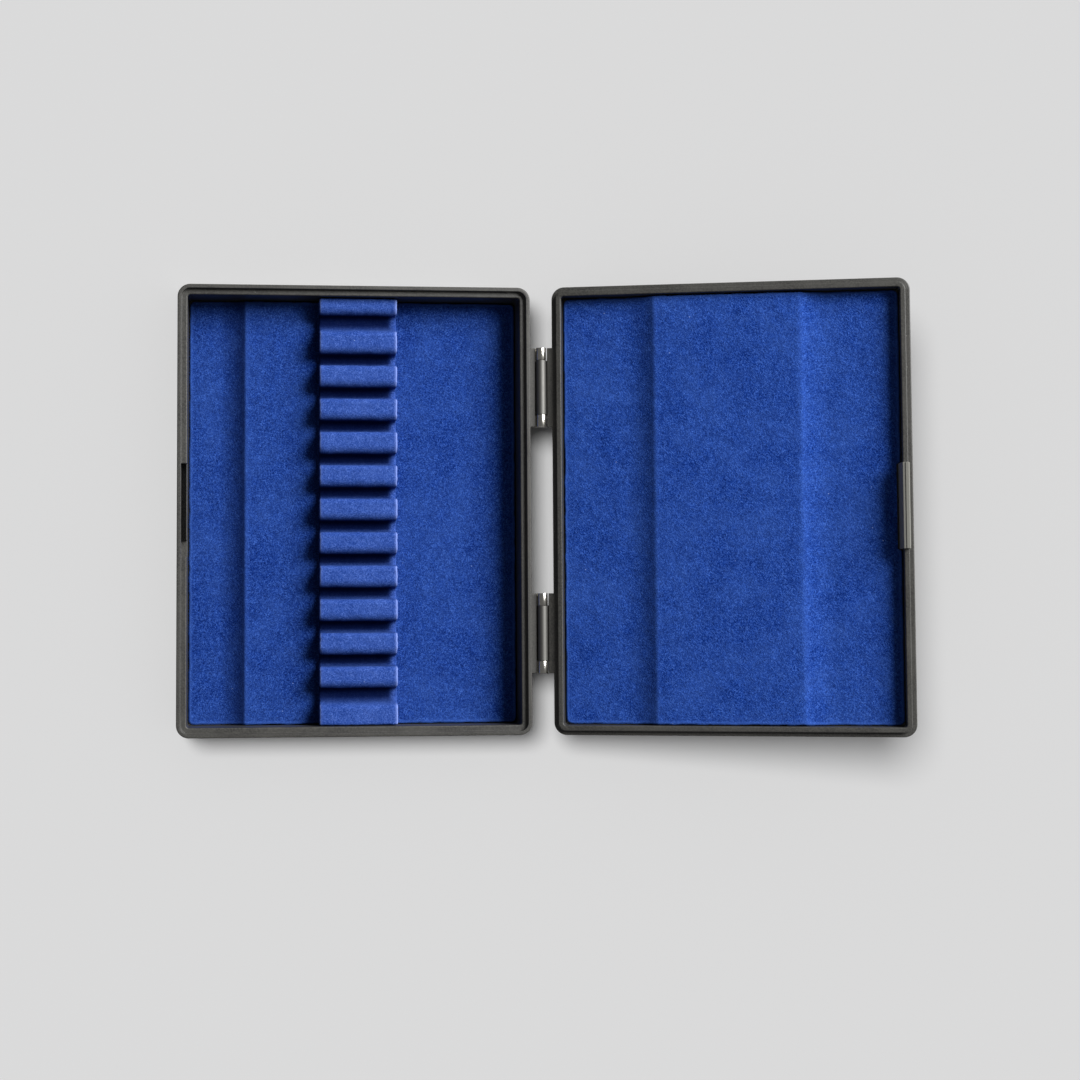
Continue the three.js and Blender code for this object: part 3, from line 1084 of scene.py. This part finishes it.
@dataclass(frozen=True)
class RolledHinge:
    """A hinge rolled from thin strip: two leaves and the wire pin through their knuckles."""

    name: str
    length: float = 19.0
    end_knuckle: float = 2.9
    gap: float = 0.1
    barrel: float = 1.2
    sheet: float = 0.35
    pin: float = 0.74
    leg_in: float = 3.0
    tray_leg: float = 6.0
    lid_leg: float = 3.4
    leg_play: float = 0.02
    seam: float = -20.0  # degrees up from level, on the leg's side

    @property
    def middle(self) -> float:
        """The hinge's middle along its axis."""
        return LAYOUT.hinges[self.name]

    def knuckle(self, y0: float, y1: float) -> Surface:
        """A knuckle between two places, with the strip that leaves its underside.

        Its section is an arc of the outer radius from the seam round to the bottom, the strip, and
        an arc of the inner radius back to the seam.
        """
        inner, outer = self.barrel - self.sheet, self.barrel
        seam, bottom = math.radians(self.seam), -math.pi / 2
        out = np.linspace(seam, bottom + 2 * math.pi, 56)
        back = np.linspace(bottom + 2 * math.pi, seam, 44)
        end = self.leg_in + self.sheet / 2
        section = np.concatenate([
            outer * np.stack([np.cos(out), np.sin(out)], axis=1),
            [(end, -outer), (end, -inner)],
            inner * np.stack([np.cos(back), np.sin(back)], axis=1),
        ])
        return bar_along_y(section, y0, y1, rounding=0.06, steps=2)

    def leaf(self, half: Half) -> Surface:
        """A leaf, drawn on the +X side of the axis: its knuckles and the leg set in the wall."""
        y0, y1 = self.middle - self.length / 2, self.middle + self.length / 2
        if half is Half.TRAY:
            spans = [(y0, y0 + self.end_knuckle), (y1 - self.end_knuckle, y1)]
            depth = self.tray_leg
        else:
            spans = [(y0 + self.end_knuckle + self.gap, y1 - self.end_knuckle - self.gap)]
            depth = self.lid_leg
        corners = [
            (self.leg_in, -depth),
            (self.leg_in + self.sheet, -depth),
            (self.leg_in + self.sheet, self.sheet - self.barrel),
            (self.leg_in, self.sheet - self.barrel),
        ]
        section = section_of(corners, [0.05, 0.05, 0.3, 0], steps=5)
        leg = bar_along_y(section, y0 + self.leg_play, y1 - self.leg_play, rounding=0.05, steps=2)
        return joined(leg, *(self.knuckle(*span) for span in spans))

    def wire(self) -> Surface:
        """The pin: a circle carried along the axis."""
        turn = np.linspace(0, 2 * math.pi, 40, endpoint=False)
        section = self.pin * np.stack([np.cos(turn), np.sin(turn)], axis=1)
        half = self.length / 2
        pin = bar_along_y(section, self.middle - half, self.middle + half, rounding=0.12)
        pin.points += (LAYOUT.axis_x, 0, LAYOUT.parting)
        return pin

    def make(self, finishes: Finishes) -> list[bpy.types.Object]:
        """Makes the hinge's three pieces."""
        tray_leaf, lid_leaf = beside_tray(self.leaf(Half.TRAY)), self.leaf(Half.LID)
        parts = (
            ("tray_knuckles", tray_leaf, Half.TRAY, finishes.plate, "tray_leaf", "hinge_steel"),
            ("lid_knuckle", lid_leaf, Half.LID, finishes.satin_plate, "lid_leaf", "hinge_steel"),
            ("hinge_wire", self.wire(), Half.TRAY, finishes.wire, "pin", "pin_steel"),
        )
        made = []
        for name, surface, half, finish, node, slot in parts:
            piece = mesh_piece(f"{self.name}_{name}", surface, half, finish)
            crisp(piece)
            made.append(stand_for(piece, f"{self.name}_hinge_{node}"))
        return made


# ---- Linings ------------------------------------------------------------------------------------


@dataclass(frozen=True)
class Flocking:
    """A flocked sheet cut to a rectangle, with its relief pressed in, in millimetres.

    The sheet is a grid over the cut. Near the rim the pile rounds over by a quarter circle, and
    everywhere it stands a little uneven.
    """

    half_width: float
    half_length: float
    corner: float = 1.2
    thickness: float = 0.8
    rounding: float = 0.4
    step: float = 0.55
    uneven: float = 0.05
    ragged: float = 0.09

    def places(self, half: float) -> np.ndarray:
        """Returns places across the sheet, close together where the pile rounds over."""
        rounding, _ = quarter_steps(self.rounding, 4)
        rim = np.unique(np.round(self.rounding - rounding, 6))
        flat = np.linspace(-half + self.rounding, half - self.rounding, round(2 * half / self.step))
        return np.unique(np.concatenate([flat, -half + rim, half - rim]).round(6))

    def cut(self, seed: int) -> tuple[np.ndarray, np.ndarray, np.ndarray]:
        """The sheet's grid, with rounded corners and a slightly ragged edge.

        A point in a corner's square goes to the same share of the corner's quarter circle, along
        its own direction. The edge then moves in or out by noise that fades within the sheet.

        Args:
            seed: which ragged edge.

        Returns:
            X and Y of the grid, and how far each point is from the edge.
        """
        x, y = np.meshgrid(self.places(self.half_width), self.places(self.half_length), indexing="ij")
        over_x, over_y = abs(x) - (self.half_width - self.corner), abs(y) - (self.half_length - self.corner)
        inside = np.minimum(self.half_width - abs(x), self.half_length - abs(y))
        corner = (over_x > 0) & (over_y > 0)
        share = np.maximum(over_x, over_y) / np.maximum(np.hypot(over_x, over_y), 1e-9)
        x = np.where(corner, np.sign(x) * (self.half_width - self.corner + over_x * share), x)
        y = np.where(corner, np.sign(y) * (self.half_length - self.corner + over_y * share), y)
        wave = self.ragged * (soft_noise(x, y, 2.3, seed) + 0.6 * soft_noise(x, y, 0.8, seed + 1))
        fade = 1 - smooth_step(inside, 0, 3)
        reach = np.maximum(np.hypot(x, y), 1e-9)
        return x * (1 + wave * fade / reach), y * (1 + wave * fade / reach), inside

    def surface(
        self,
        top: np.ndarray,
        x: np.ndarray,
        y: np.ndarray,
        inside: np.ndarray,
        crease: np.ndarray,
        seed: int,
    ) -> Surface:
        """Closes the sheet: its pile side, its underside and the rim between them.

        Args:
            top: the height of the pile side at each point, before rounding and unevenness.
            x: the grid's X.
            y: the grid's Y.
            inside: how far each point is from the edge.
            crease: how strong the painted highlight is along the sheet's creases, and 0 away from them.
            seed: which unevenness.

        Returns:
            The closed surface.
        """
        short = np.clip(self.rounding - inside, 0, self.rounding)
        drop = self.rounding - np.sqrt(np.maximum(self.rounding**2 - short**2, 0))
        pile = self.uneven * (soft_noise(x, y, 1.1, seed) + 0.7 * soft_noise(x, y, 4.0, seed + 1))
        high = top - drop + pile * smooth_step(inside, 0, 0.8)
        rows, columns = x.shape
        upper = np.stack([x, y, high], axis=-1).reshape(-1, 3)
        lower = np.stack([x, y, top - self.thickness], axis=-1).reshape(-1, 3)
        quads = grid_faces(rows, columns)
        number = np.arange(rows * columns).reshape(rows, columns)
        rim = np.concatenate([number[:-1, 0], number[-1, :-1], number[:0:-1, -1], number[0, :0:-1]])
        ahead = np.roll(rim, -1)
        count = rows * columns
        side = np.stack([rim, ahead, ahead + count, rim + count], axis=1)
        # Painted highlight along the sheet's rim and creases. The painted shade starts at nothing here.
        splay = np.maximum(0.7 * (1 - smooth_step(inside, 0.15, 0.8)), crease).ravel()
        marks = {"splay": np.concatenate([splay, splay * 0]), "thin": np.zeros(2 * count)}
        faces = [quads[:, ::-1], quads + count, side]
        return Surface(np.concatenate([upper, lower]), faces, marks).outward()


@dataclass(frozen=True)
class Lining:
    """What both linings share, in millimetres."""

    play: float = 0.3
    pad_inset: float = 0.5
    pad_give: float = 0.12

    def sheet(self) -> Flocking:
        """Returns the sheet's cut: the half's inside, less the play."""
        gap = Moulding.wall + self.play
        return Flocking(LAYOUT.width / 2 - gap, LAYOUT.length / 2 - gap)

    def lay(self, flock: bpy.types.Object, cut: Flocking, under: list[str]) -> None:
        """Does nothing: it records neither the sheet's flat size nor what it lies on."""


@dataclass(frozen=True)
class TrayLining(Lining):
    """The sheet on the tray's floor: a low well on the left, and a shelf under and right of the rack.

    Painted shade darkens the pile down the riser between them, and a painted shadow lies beside
    the rack's left side. A painted highlight runs along the crease at the riser's top.
    """

    riser: tuple[float, float] = (-32.0, -25.9)
    steepness: float = 2.2
    # how dark the painted shade down the riser gets
    riser_shade: float = 0.75
    riser_top: float = 0.97  # the share of the riser's width where the painted shade starts to fade out
    # strength and width of the painted highlight along the crease at the riser's top
    crease: float = 0.35
    crease_width: float = 0.7
    # strength and width of the painted shadow beside the rack's left side
    rack_shadow: float = 0.6
    rack_shadow_width: float = 1.9
    swell: float = 0.32
    swell_reach: float = 4.5
    pad: float = 1.3
    slope: float = 0.3
    floor: float = Moulding.floor

    def make(self, finishes: Finishes) -> list[bpy.types.Object]:
        """Makes the flocked sheet and the board under its shelf."""
        cut = self.sheet()
        x, y, inside = cut.cut(seed=11)
        settle = np.exp(-np.maximum(x - self.riser[1], 0) / self.swell_reach)
        rise = draped(x, *self.riser, self.steepness) * (self.pad + self.swell * settle)
        top = self.floor + cut.thickness + rise
        # Painted highlight along the crease at the riser's top.
        crease = self.crease * bell(x, self.riser[1], self.crease_width)
        surface = cut.surface(top, x, y, inside, crease, seed=12)
        # Painted shade down the riser, and a painted shadow beside the rack's left side.
        along = draped(x, *self.riser, 1)
        riser_shade_mask = self.riser_shade * along**0.7 * (1 - smooth_step(along, self.riser_top, 1.0))
        rack = LAYOUT.rack[0][0]
        rack_shadow = self.rack_shadow * bell(x, rack, self.rack_shadow_width) * (x < rack)
        surface.marks["thin"][: x.size] = np.maximum(riser_shade_mask, rack_shadow).ravel()
        flock = mesh_piece("tray_floor_flock", surface, Half.TRAY, finishes.flock)
        stand_for(flock, "tray_lining")
        board = self.board(cut, finishes)
        self.lay(flock, cut, ["tray_moulding", board.name])
        return [flock, board]

    def board(self, cut: Flocking, finishes: Finishes) -> bpy.types.Object:
        """Makes the board: a flat bar with a sloping left edge."""
        low, high = self.floor, self.floor + self.pad - self.pad_give
        start, end = self.riser[1], cut.half_width - self.pad_inset - self.pad_give
        corners = [(start - self.slope, low), (end, low), (end, high), (start + self.slope, high)]
        section = spread(section_of(corners, [0.1, 0.1, 0.1, 0.3], steps=4), 2.0)
        half = cut.half_length - self.pad_inset
        board = mesh_piece("shelf_board", bar_along_y(section, -half, half), Half.TRAY, finishes.board)
        crisp(board)
        return stand_for(board, "tray_shelf_pad")


@dataclass(frozen=True)
class LidLining(Lining):
    """The sheet in the lid, raised over the foam pad that presses on what the rack holds."""

    rise: tuple[float, float] = (19.5, 27.0)
    fall: tuple[float, float] = (61.4, 69.0)
    steepness: float = 2.3
    pad: float = 2.0
    floor: float = -3.3
    rise_crease: tuple[float, float] = (0.22, 0.8)  # how strong the painted highlight along the crease is, and over what width
    fall_crease: tuple[float, float] = (0.2, 1.0)
    pressed_width: float = 0.9
    pressed_fade: float = 6.0
    catch_half: float = 10.3
    catch_in: float = 3.6

    def relief(self, u: np.ndarray, v: np.ndarray) -> np.ndarray:
        """The sheet's relief: draped up to the pad, flat with two long pressed marks, and down again.

        Args:
            u: places out from the hinge axis.
            v: places along it.

        Returns:
            The height of the pile side at each place.
        """
        up = draped(u, *self.rise, self.steepness)
        down = draped(-u, -self.fall[1], -self.fall[0], self.steepness)
        marks = np.zeros_like(u)
        fade = self.pressed_fade
        for at, start, end, deep in ((1.2, 33, 57, 0.1), (-7.2, 37, 61, 0.07)):
            reach = smooth_step(u, start, start + fade) * (1 - smooth_step(u, end - fade, end))
            marks += deep * reach * bell(v, at, self.pressed_width)
        return self.floor + Flocking.thickness + self.pad * up * down - marks

    def make(self, finishes: Finishes) -> list[bpy.types.Object]:
        """Makes the flocked sheet and the foam under its raised part."""
        cut = self.sheet()
        x, v, inside = cut.cut(seed=21)
        notch = (abs(v) < self.catch_half) & (x > LAYOUT.width / 2 - self.catch_in)
        x = np.where(notch, LAYOUT.width / 2 - self.catch_in, x)
        u = x + LAYOUT.axis_x
        # Painted highlight along the creases at the tops of the rise and the fall.
        (up, up_width), (down, down_width) = self.rise_crease, self.fall_crease
        crease = up * bell(u, self.rise[1], up_width) + down * bell(u, self.fall[0], down_width)
        surface = cut.surface(self.relief(u, v), u, v, inside, crease, seed=22)
        flock = mesh_piece("lid_flock", surface, Half.LID, finishes.lid_flock)
        stand_for(flock, "lid_lining")
        foam = self.foam(cut, finishes)
        self.lay(flock, cut, ["lid_moulding", foam.name])
        return [flock, foam]

    def foam(self, cut: Flocking, finishes: Finishes) -> bpy.types.Object:
        """Makes the foam pad: a flat bar with sloping edges."""
        low, high = self.floor, self.floor + self.pad - self.pad_give
        start, end = self.rise[1], self.fall[0]
        corners = [(start - 0.4, low), (end + 0.4, low), (end - 0.3, high), (start + 0.3, high)]
        section = spread(section_of(corners, [0.1, 0.1, 0.5, 0.5], steps=5), 1.5)
        half = cut.half_length - self.pad_inset
        bar = bar_along_y(section, -half, half, rounding=0.4)
        foam = mesh_piece("pressure_pad_foam", bar, Half.LID, finishes.foam)
        crisp(foam, angle=60)
        stand_for(foam, "lid_pressure_pad")
        return foam


# ---- Rack ---------------------------------------------------------------------------------------


@dataclass(frozen=True)
class NeedleRack:
    """The flocked block with grooves across it, in millimetres."""

    grooves: int = 12
    pitch: float = 8.0
    first: float = 44.28
    half_width: float = 1.35
    depth: float = 4.6
    shoulder: float = 1.2
    lee_shoulder: float = 2.0
    end_half_width: float = 2.1
    end_depth: float = 3.8
    end_shoulder: float = 1.4
    end_outward: float = 0.6
    edge: float = 0.5
    rounding: float = 0.45
    step: float = 0.3
    uneven: float = 0.05
    ragged: float = 0.12
    ragged_reach: float = 1.5
    shade_depths: tuple[float, float] = (0.3, 2.4)  # depths where a groove's painted shade starts, and where it is darkest
    end_wall: float = 1.5
    shade_fade: tuple[float, float, float] = (0.6, 0.25, 1.15)  # painted shade taken off toward a groove's -Y side, which faces the light: share, and from and to where across a groove
    # the same painted shade fade, for the two end grooves
    end_shade_fade: tuple[float, float, float] = (0.9, -0.05, 1.1)
    mouth: tuple[float, float, float] = (0.9, 2.2, 0.5)  # painted shade taken off near the right side, where light reaches into the grooves: share, and from and to where off the right side
    rim: tuple[float, float] = (0.5, 1.6)  # depths where the painted highlight along the side rims starts to fade and is gone

    def section(self) -> np.ndarray:
        """The rack's outline along Y: lands with rounded shoulders and round-bottomed grooves.

        Returns:
            (n, 2) points of Y and height, close enough together for the pile's unevenness.
        """
        low, high = LAYOUT.rack
        top, base = high[2], low[2]
        corners, radii = [(high[1], base), (high[1], top)], [0.1, self.edge]
        for k in range(self.grooves):
            y = self.first - k * self.pitch
            ends = k in (0, self.grooves - 1)
            half, depth = (self.end_half_width, self.end_depth) if ends else (self.half_width, self.depth)
            shoulder = self.end_shoulder if ends else self.shoulder
            y += np.sign(y) * self.end_outward * ends
            wide, narrow = half + 0.1, half - 0.1
            bottom = y - (0.2 if ends else 1.0) * narrow
            corners += [(y + wide, top), (y + narrow, top - depth), (bottom, top - depth), (y - wide, top)]
            round_floor = 0.93 * (y + narrow - bottom) / 2
            radii += [max(shoulder, self.lee_shoulder), round_floor, round_floor, shoulder]
        corners += [(low[1], top), (low[1], base)]
        radii += [self.edge, 0.1]
        return spread(section_of(corners, radii, steps=7), self.step)

    def surface(self) -> Surface:
        """The block: its outline carried across, rounded at both sides, with an uneven pile.

        At each side the outline shrinks along its normals by a quarter circle. Noise along the
        normals, and a ragged edge at the two sides, stand for the pile.
        """
        low, high = LAYOUT.rack
        outline = self.section()
        normals = outward_of(outline)
        inset, along = quarter_steps(self.rounding, 5)
        across = np.linspace(low[0] + self.rounding, high[0] - self.rounding, 36)[1:-1]
        places = np.concatenate([low[0] + along, across, high[0] - along[::-1]])
        insets = np.concatenate([inset, np.zeros(len(across)), inset[::-1]])
        arc = np.cumsum(np.linalg.norm(np.diff(outline, axis=0, prepend=outline[-1:]), axis=1))
        x, s = np.meshgrid(places, arc, indexing="ij")
        pile = self.uneven * (soft_noise(x, s, 0.9, 31) + 0.8 * soft_noise(x, s, 3.0, 32))
        ragged = self.ragged * (soft_noise(s, x * 0 + 5, 1.6, 33) + 0.5 * soft_noise(s, x * 0 + 9, 0.6, 34))
        near_side = 1 - smooth_step(np.minimum(x - low[0], high[0] - x), 0, self.ragged_reach)
        push = pile - insets[:, None] - abs(ragged) * near_side * 0.3
        points = outline[None] + normals[None] * push[..., None]
        sideways = x - np.sign(x - (low[0] + high[0]) / 2) * abs(ragged) * near_side
        grounded = np.maximum(points[..., 1], low[2])
        solid = np.stack([sideways, points[..., 0], grounded], axis=-1)
        block = tube(solid)
        # Painted highlight and painted shade, as mesh attributes.
        block.marks.update(self.painted_light_marks(x, solid[..., 1], grounded))
        return block.outward()

    def painted_light_marks(self, x: np.ndarray, y: np.ndarray, z: np.ndarray) -> dict[str, np.ndarray]:
        """Painted highlight along the rims of both sides, and painted shade down the grooves.

        The painted shade is lighter toward a groove's -Y side, which faces the light, and where the
        groove opens on the right, where light reaches in. The painted highlight is stronger on the right
        side, which faces the light.

        Args:
            x: each point's place across the rack.
            y: its place along the rack.
            z: its height.

        Returns:
            The two painted numbers of each point: the highlight and the shade.
        """
        low, high = LAYOUT.rack
        groove = np.clip(np.round((self.first - y) / self.pitch), 0, self.grooves - 1)
        ends = (groove == 0) | (groove == self.grooves - 1)
        centre = self.first - self.pitch * groove
        centre += np.sign(centre) * self.end_outward * ends
        lee = (centre - y) / np.where(ends, self.end_half_width, self.half_width)
        # Painted shade down the grooves, but not near the rack's ends.
        deep = smooth_step(high[2] - z, *self.shade_depths) * (abs(y) < high[1] - self.end_wall)
        (share, *reach), (end_share, *end_reach) = self.shade_fade, self.end_shade_fade
        faded = np.where(ends, end_share * smooth_step(lee, *end_reach), share * smooth_step(lee, *reach))
        share, start, stop = self.mouth
        deep *= (1 - faded) * (1 - share * smooth_step(x, high[0] - start, high[0] - stop))
        # Painted highlight along both side rims, stronger on the right, which faces the light.
        side = bell(x, high[0] - 0.15, 0.28) + 0.5 * bell(x, low[0] + 0.1, 0.25)
        side *= smooth_step(np.minimum(high[0] - x, x - low[0]), 0, 0.04)
        side *= 1 - smooth_step(high[2] - z, *self.rim)
        return {"splay": (side * (1 - deep)).ravel(), "thin": deep.ravel()}

    def make(self, finishes: Finishes) -> bpy.types.Object:
        """Makes the piece."""
        piece = mesh_piece("rack_block", self.surface(), Half.TRAY, finishes.rack_flock)
        weld(piece)
        piece.data.set_sharp_from_angle(angle=math.radians(60))
        return stand_for(piece, "needle_rack")


# ---- Studio -------------------------------------------------------------------------------------


def turned_towards(beam: np.ndarray) -> Matrix:
    """Returns the turn that points a light's beam, which starts down, along a direction."""
    back = -beam / np.linalg.norm(beam)
    side = np.cross((0, 1, 0), back)
    side /= np.linalg.norm(side)
    return Matrix([side, np.cross(back, side), back]).transposed().to_4x4()


class Reach(Enum):
    """What a light falls on: the case alone, or the floor alone."""

    CASE = "EXCLUDE"
    FLOOR = "INCLUDE"

    def limit(self, lamp: bpy.types.Object, floor: bpy.types.Object) -> None:
        """Links a light to the floor, to light it alone or to leave it out."""
        chosen = bpy.data.collections.new(f"{lamp.name}_reach")
        chosen.objects.link(floor)
        chosen.collection_objects[0].light_linking.link_state = self.value
        lamp.light_linking.receiver_collection = chosen


@dataclass(frozen=True)
class Softbox:
    """A round soft light in metres and watts, aimed back along the way it lies from the case."""

    name: str
    way: tuple[float, float, float]
    distance: float
    size: float
    power: float
    aim: tuple[float, float, float] = (0.045, 0.0, 0.01)

    def make(self) -> bpy.types.Object:
        """Makes the light."""
        light = bpy.data.lights.new(self.name, "AREA")
        light.shape = "DISK"
        light.size = self.size
        light.energy = self.power
        lamp = placed(self.name, light)
        way = np.array(self.way) / np.linalg.norm(self.way)
        at = Matrix.Translation(np.array(self.aim) + self.distance * way)
        lamp.matrix_world = at @ turned_towards(-way)
        return lamp


@dataclass(frozen=True)
class EvenLight:
    """A light with no falloff, for the floor, as wide across the sky as its angle in degrees."""

    name: str
    way: tuple[float, float, float]
    angle: float
    strength: float

    def make(self) -> bpy.types.Object:
        """Makes the light."""
        light = bpy.data.lights.new(self.name, "SUN")
        light.angle = math.radians(self.angle)
        light.energy = self.strength
        lamp = placed(self.name, light)
        lamp.matrix_world = turned_towards(-np.array(self.way))
        return lamp


@dataclass(frozen=True)
class Studio:
    """A pale floor, soft light, and a camera nearly overhead."""

    camera_at: tuple[float, float, float] = (-26.15, -22.74, 476.73)  # millimetres
    camera_turn: tuple[float, float, float] = (-3.313, 5.635, -0.112)  # degrees about X, then Y, then Z
    lens: float = 65.4
    shift: tuple[float, float] = (0.0943, -0.0439)
    sky: float = 0.17
    sky_colour: str = "#f6f6f8"
    floor_half: float = 10.0
    floor_at: float = -0.0002  # metres, just under the tray
    key: Softbox = Softbox("key", way=(0.87, 0.62, 1.0), distance=1.4, size=0.95, power=46)
    floor_light: EvenLight = EvenLight("floor_light", way=(-0.30, 0.20, 1.0), angle=26, strength=2.44)

    def camera(self) -> bpy.types.Object:
        """Makes the camera: it looks straight down, less three small turns."""
        data = bpy.data.cameras.new("camera")
        data.lens = self.lens
        data.sensor_width = 36
        data.shift_x, data.shift_y = self.shift
        data.clip_start = 0.01
        camera = placed("camera", data)
        about_x, about_y, about_z = (
            Matrix.Rotation(math.radians(turn), 3, axis) for turn, axis in zip(self.camera_turn, "XYZ")
        )
        looks = (about_z @ about_y @ about_x).transposed().to_4x4()
        camera.matrix_world = Matrix.Translation([value * MM for value in self.camera_at]) @ looks
        bpy.context.scene.camera = camera
        return camera

    def floor(self) -> bpy.types.Object:
        """Makes the floor, which isn't part of the object."""
        half = self.floor_half
        mesh = bpy.data.meshes.new("floor")
        corners = [(-half, -half, 0), (half, -half, 0), (half, half, 0), (-half, half, 0)]
        mesh.from_pydata(corners, [], [(0, 1, 2, 3)])
        mesh.materials.append(PaleFloor().material())
        floor = placed("floor", mesh)
        floor.location.z = self.floor_at
        return floor

    def world(self) -> None:
        """Sets a dim even sky."""
        world = bpy.data.worlds.new("soft_sky")
        world.use_nodes = True
        background = world.node_tree.nodes["Background"]
        background.inputs["Color"].default_value = linear(self.sky_colour)
        background.inputs["Strength"].default_value = self.sky
        bpy.context.scene.world = world

    def make(self) -> None:
        """Makes the studio: the key lights the case, and the floor has a light of its own."""
        self.camera()
        self.world()
        floor = self.floor()
        Reach.CASE.limit(self.key.make(), floor)
        Reach.FLOOR.limit(self.floor_light.make(), floor)
        bpy.context.scene.view_settings.view_transform = "Standard"


def main() -> None:
    """Builds the studio and every piece, in order."""
    logging.basicConfig(level=logging.INFO, format="%(name)s: %(message)s")
    Studio().make()
    finishes = Finishes.build()
    TrayMoulding().make(finishes)
    LidMoulding().make(finishes)
    for name in LAYOUT.hinges:
        RolledHinge(name).make(finishes)
    TrayLining().make(finishes)
    LidLining().make(finishes)
    NeedleRack().make(finishes)


if __name__ == "__main__":
    main()
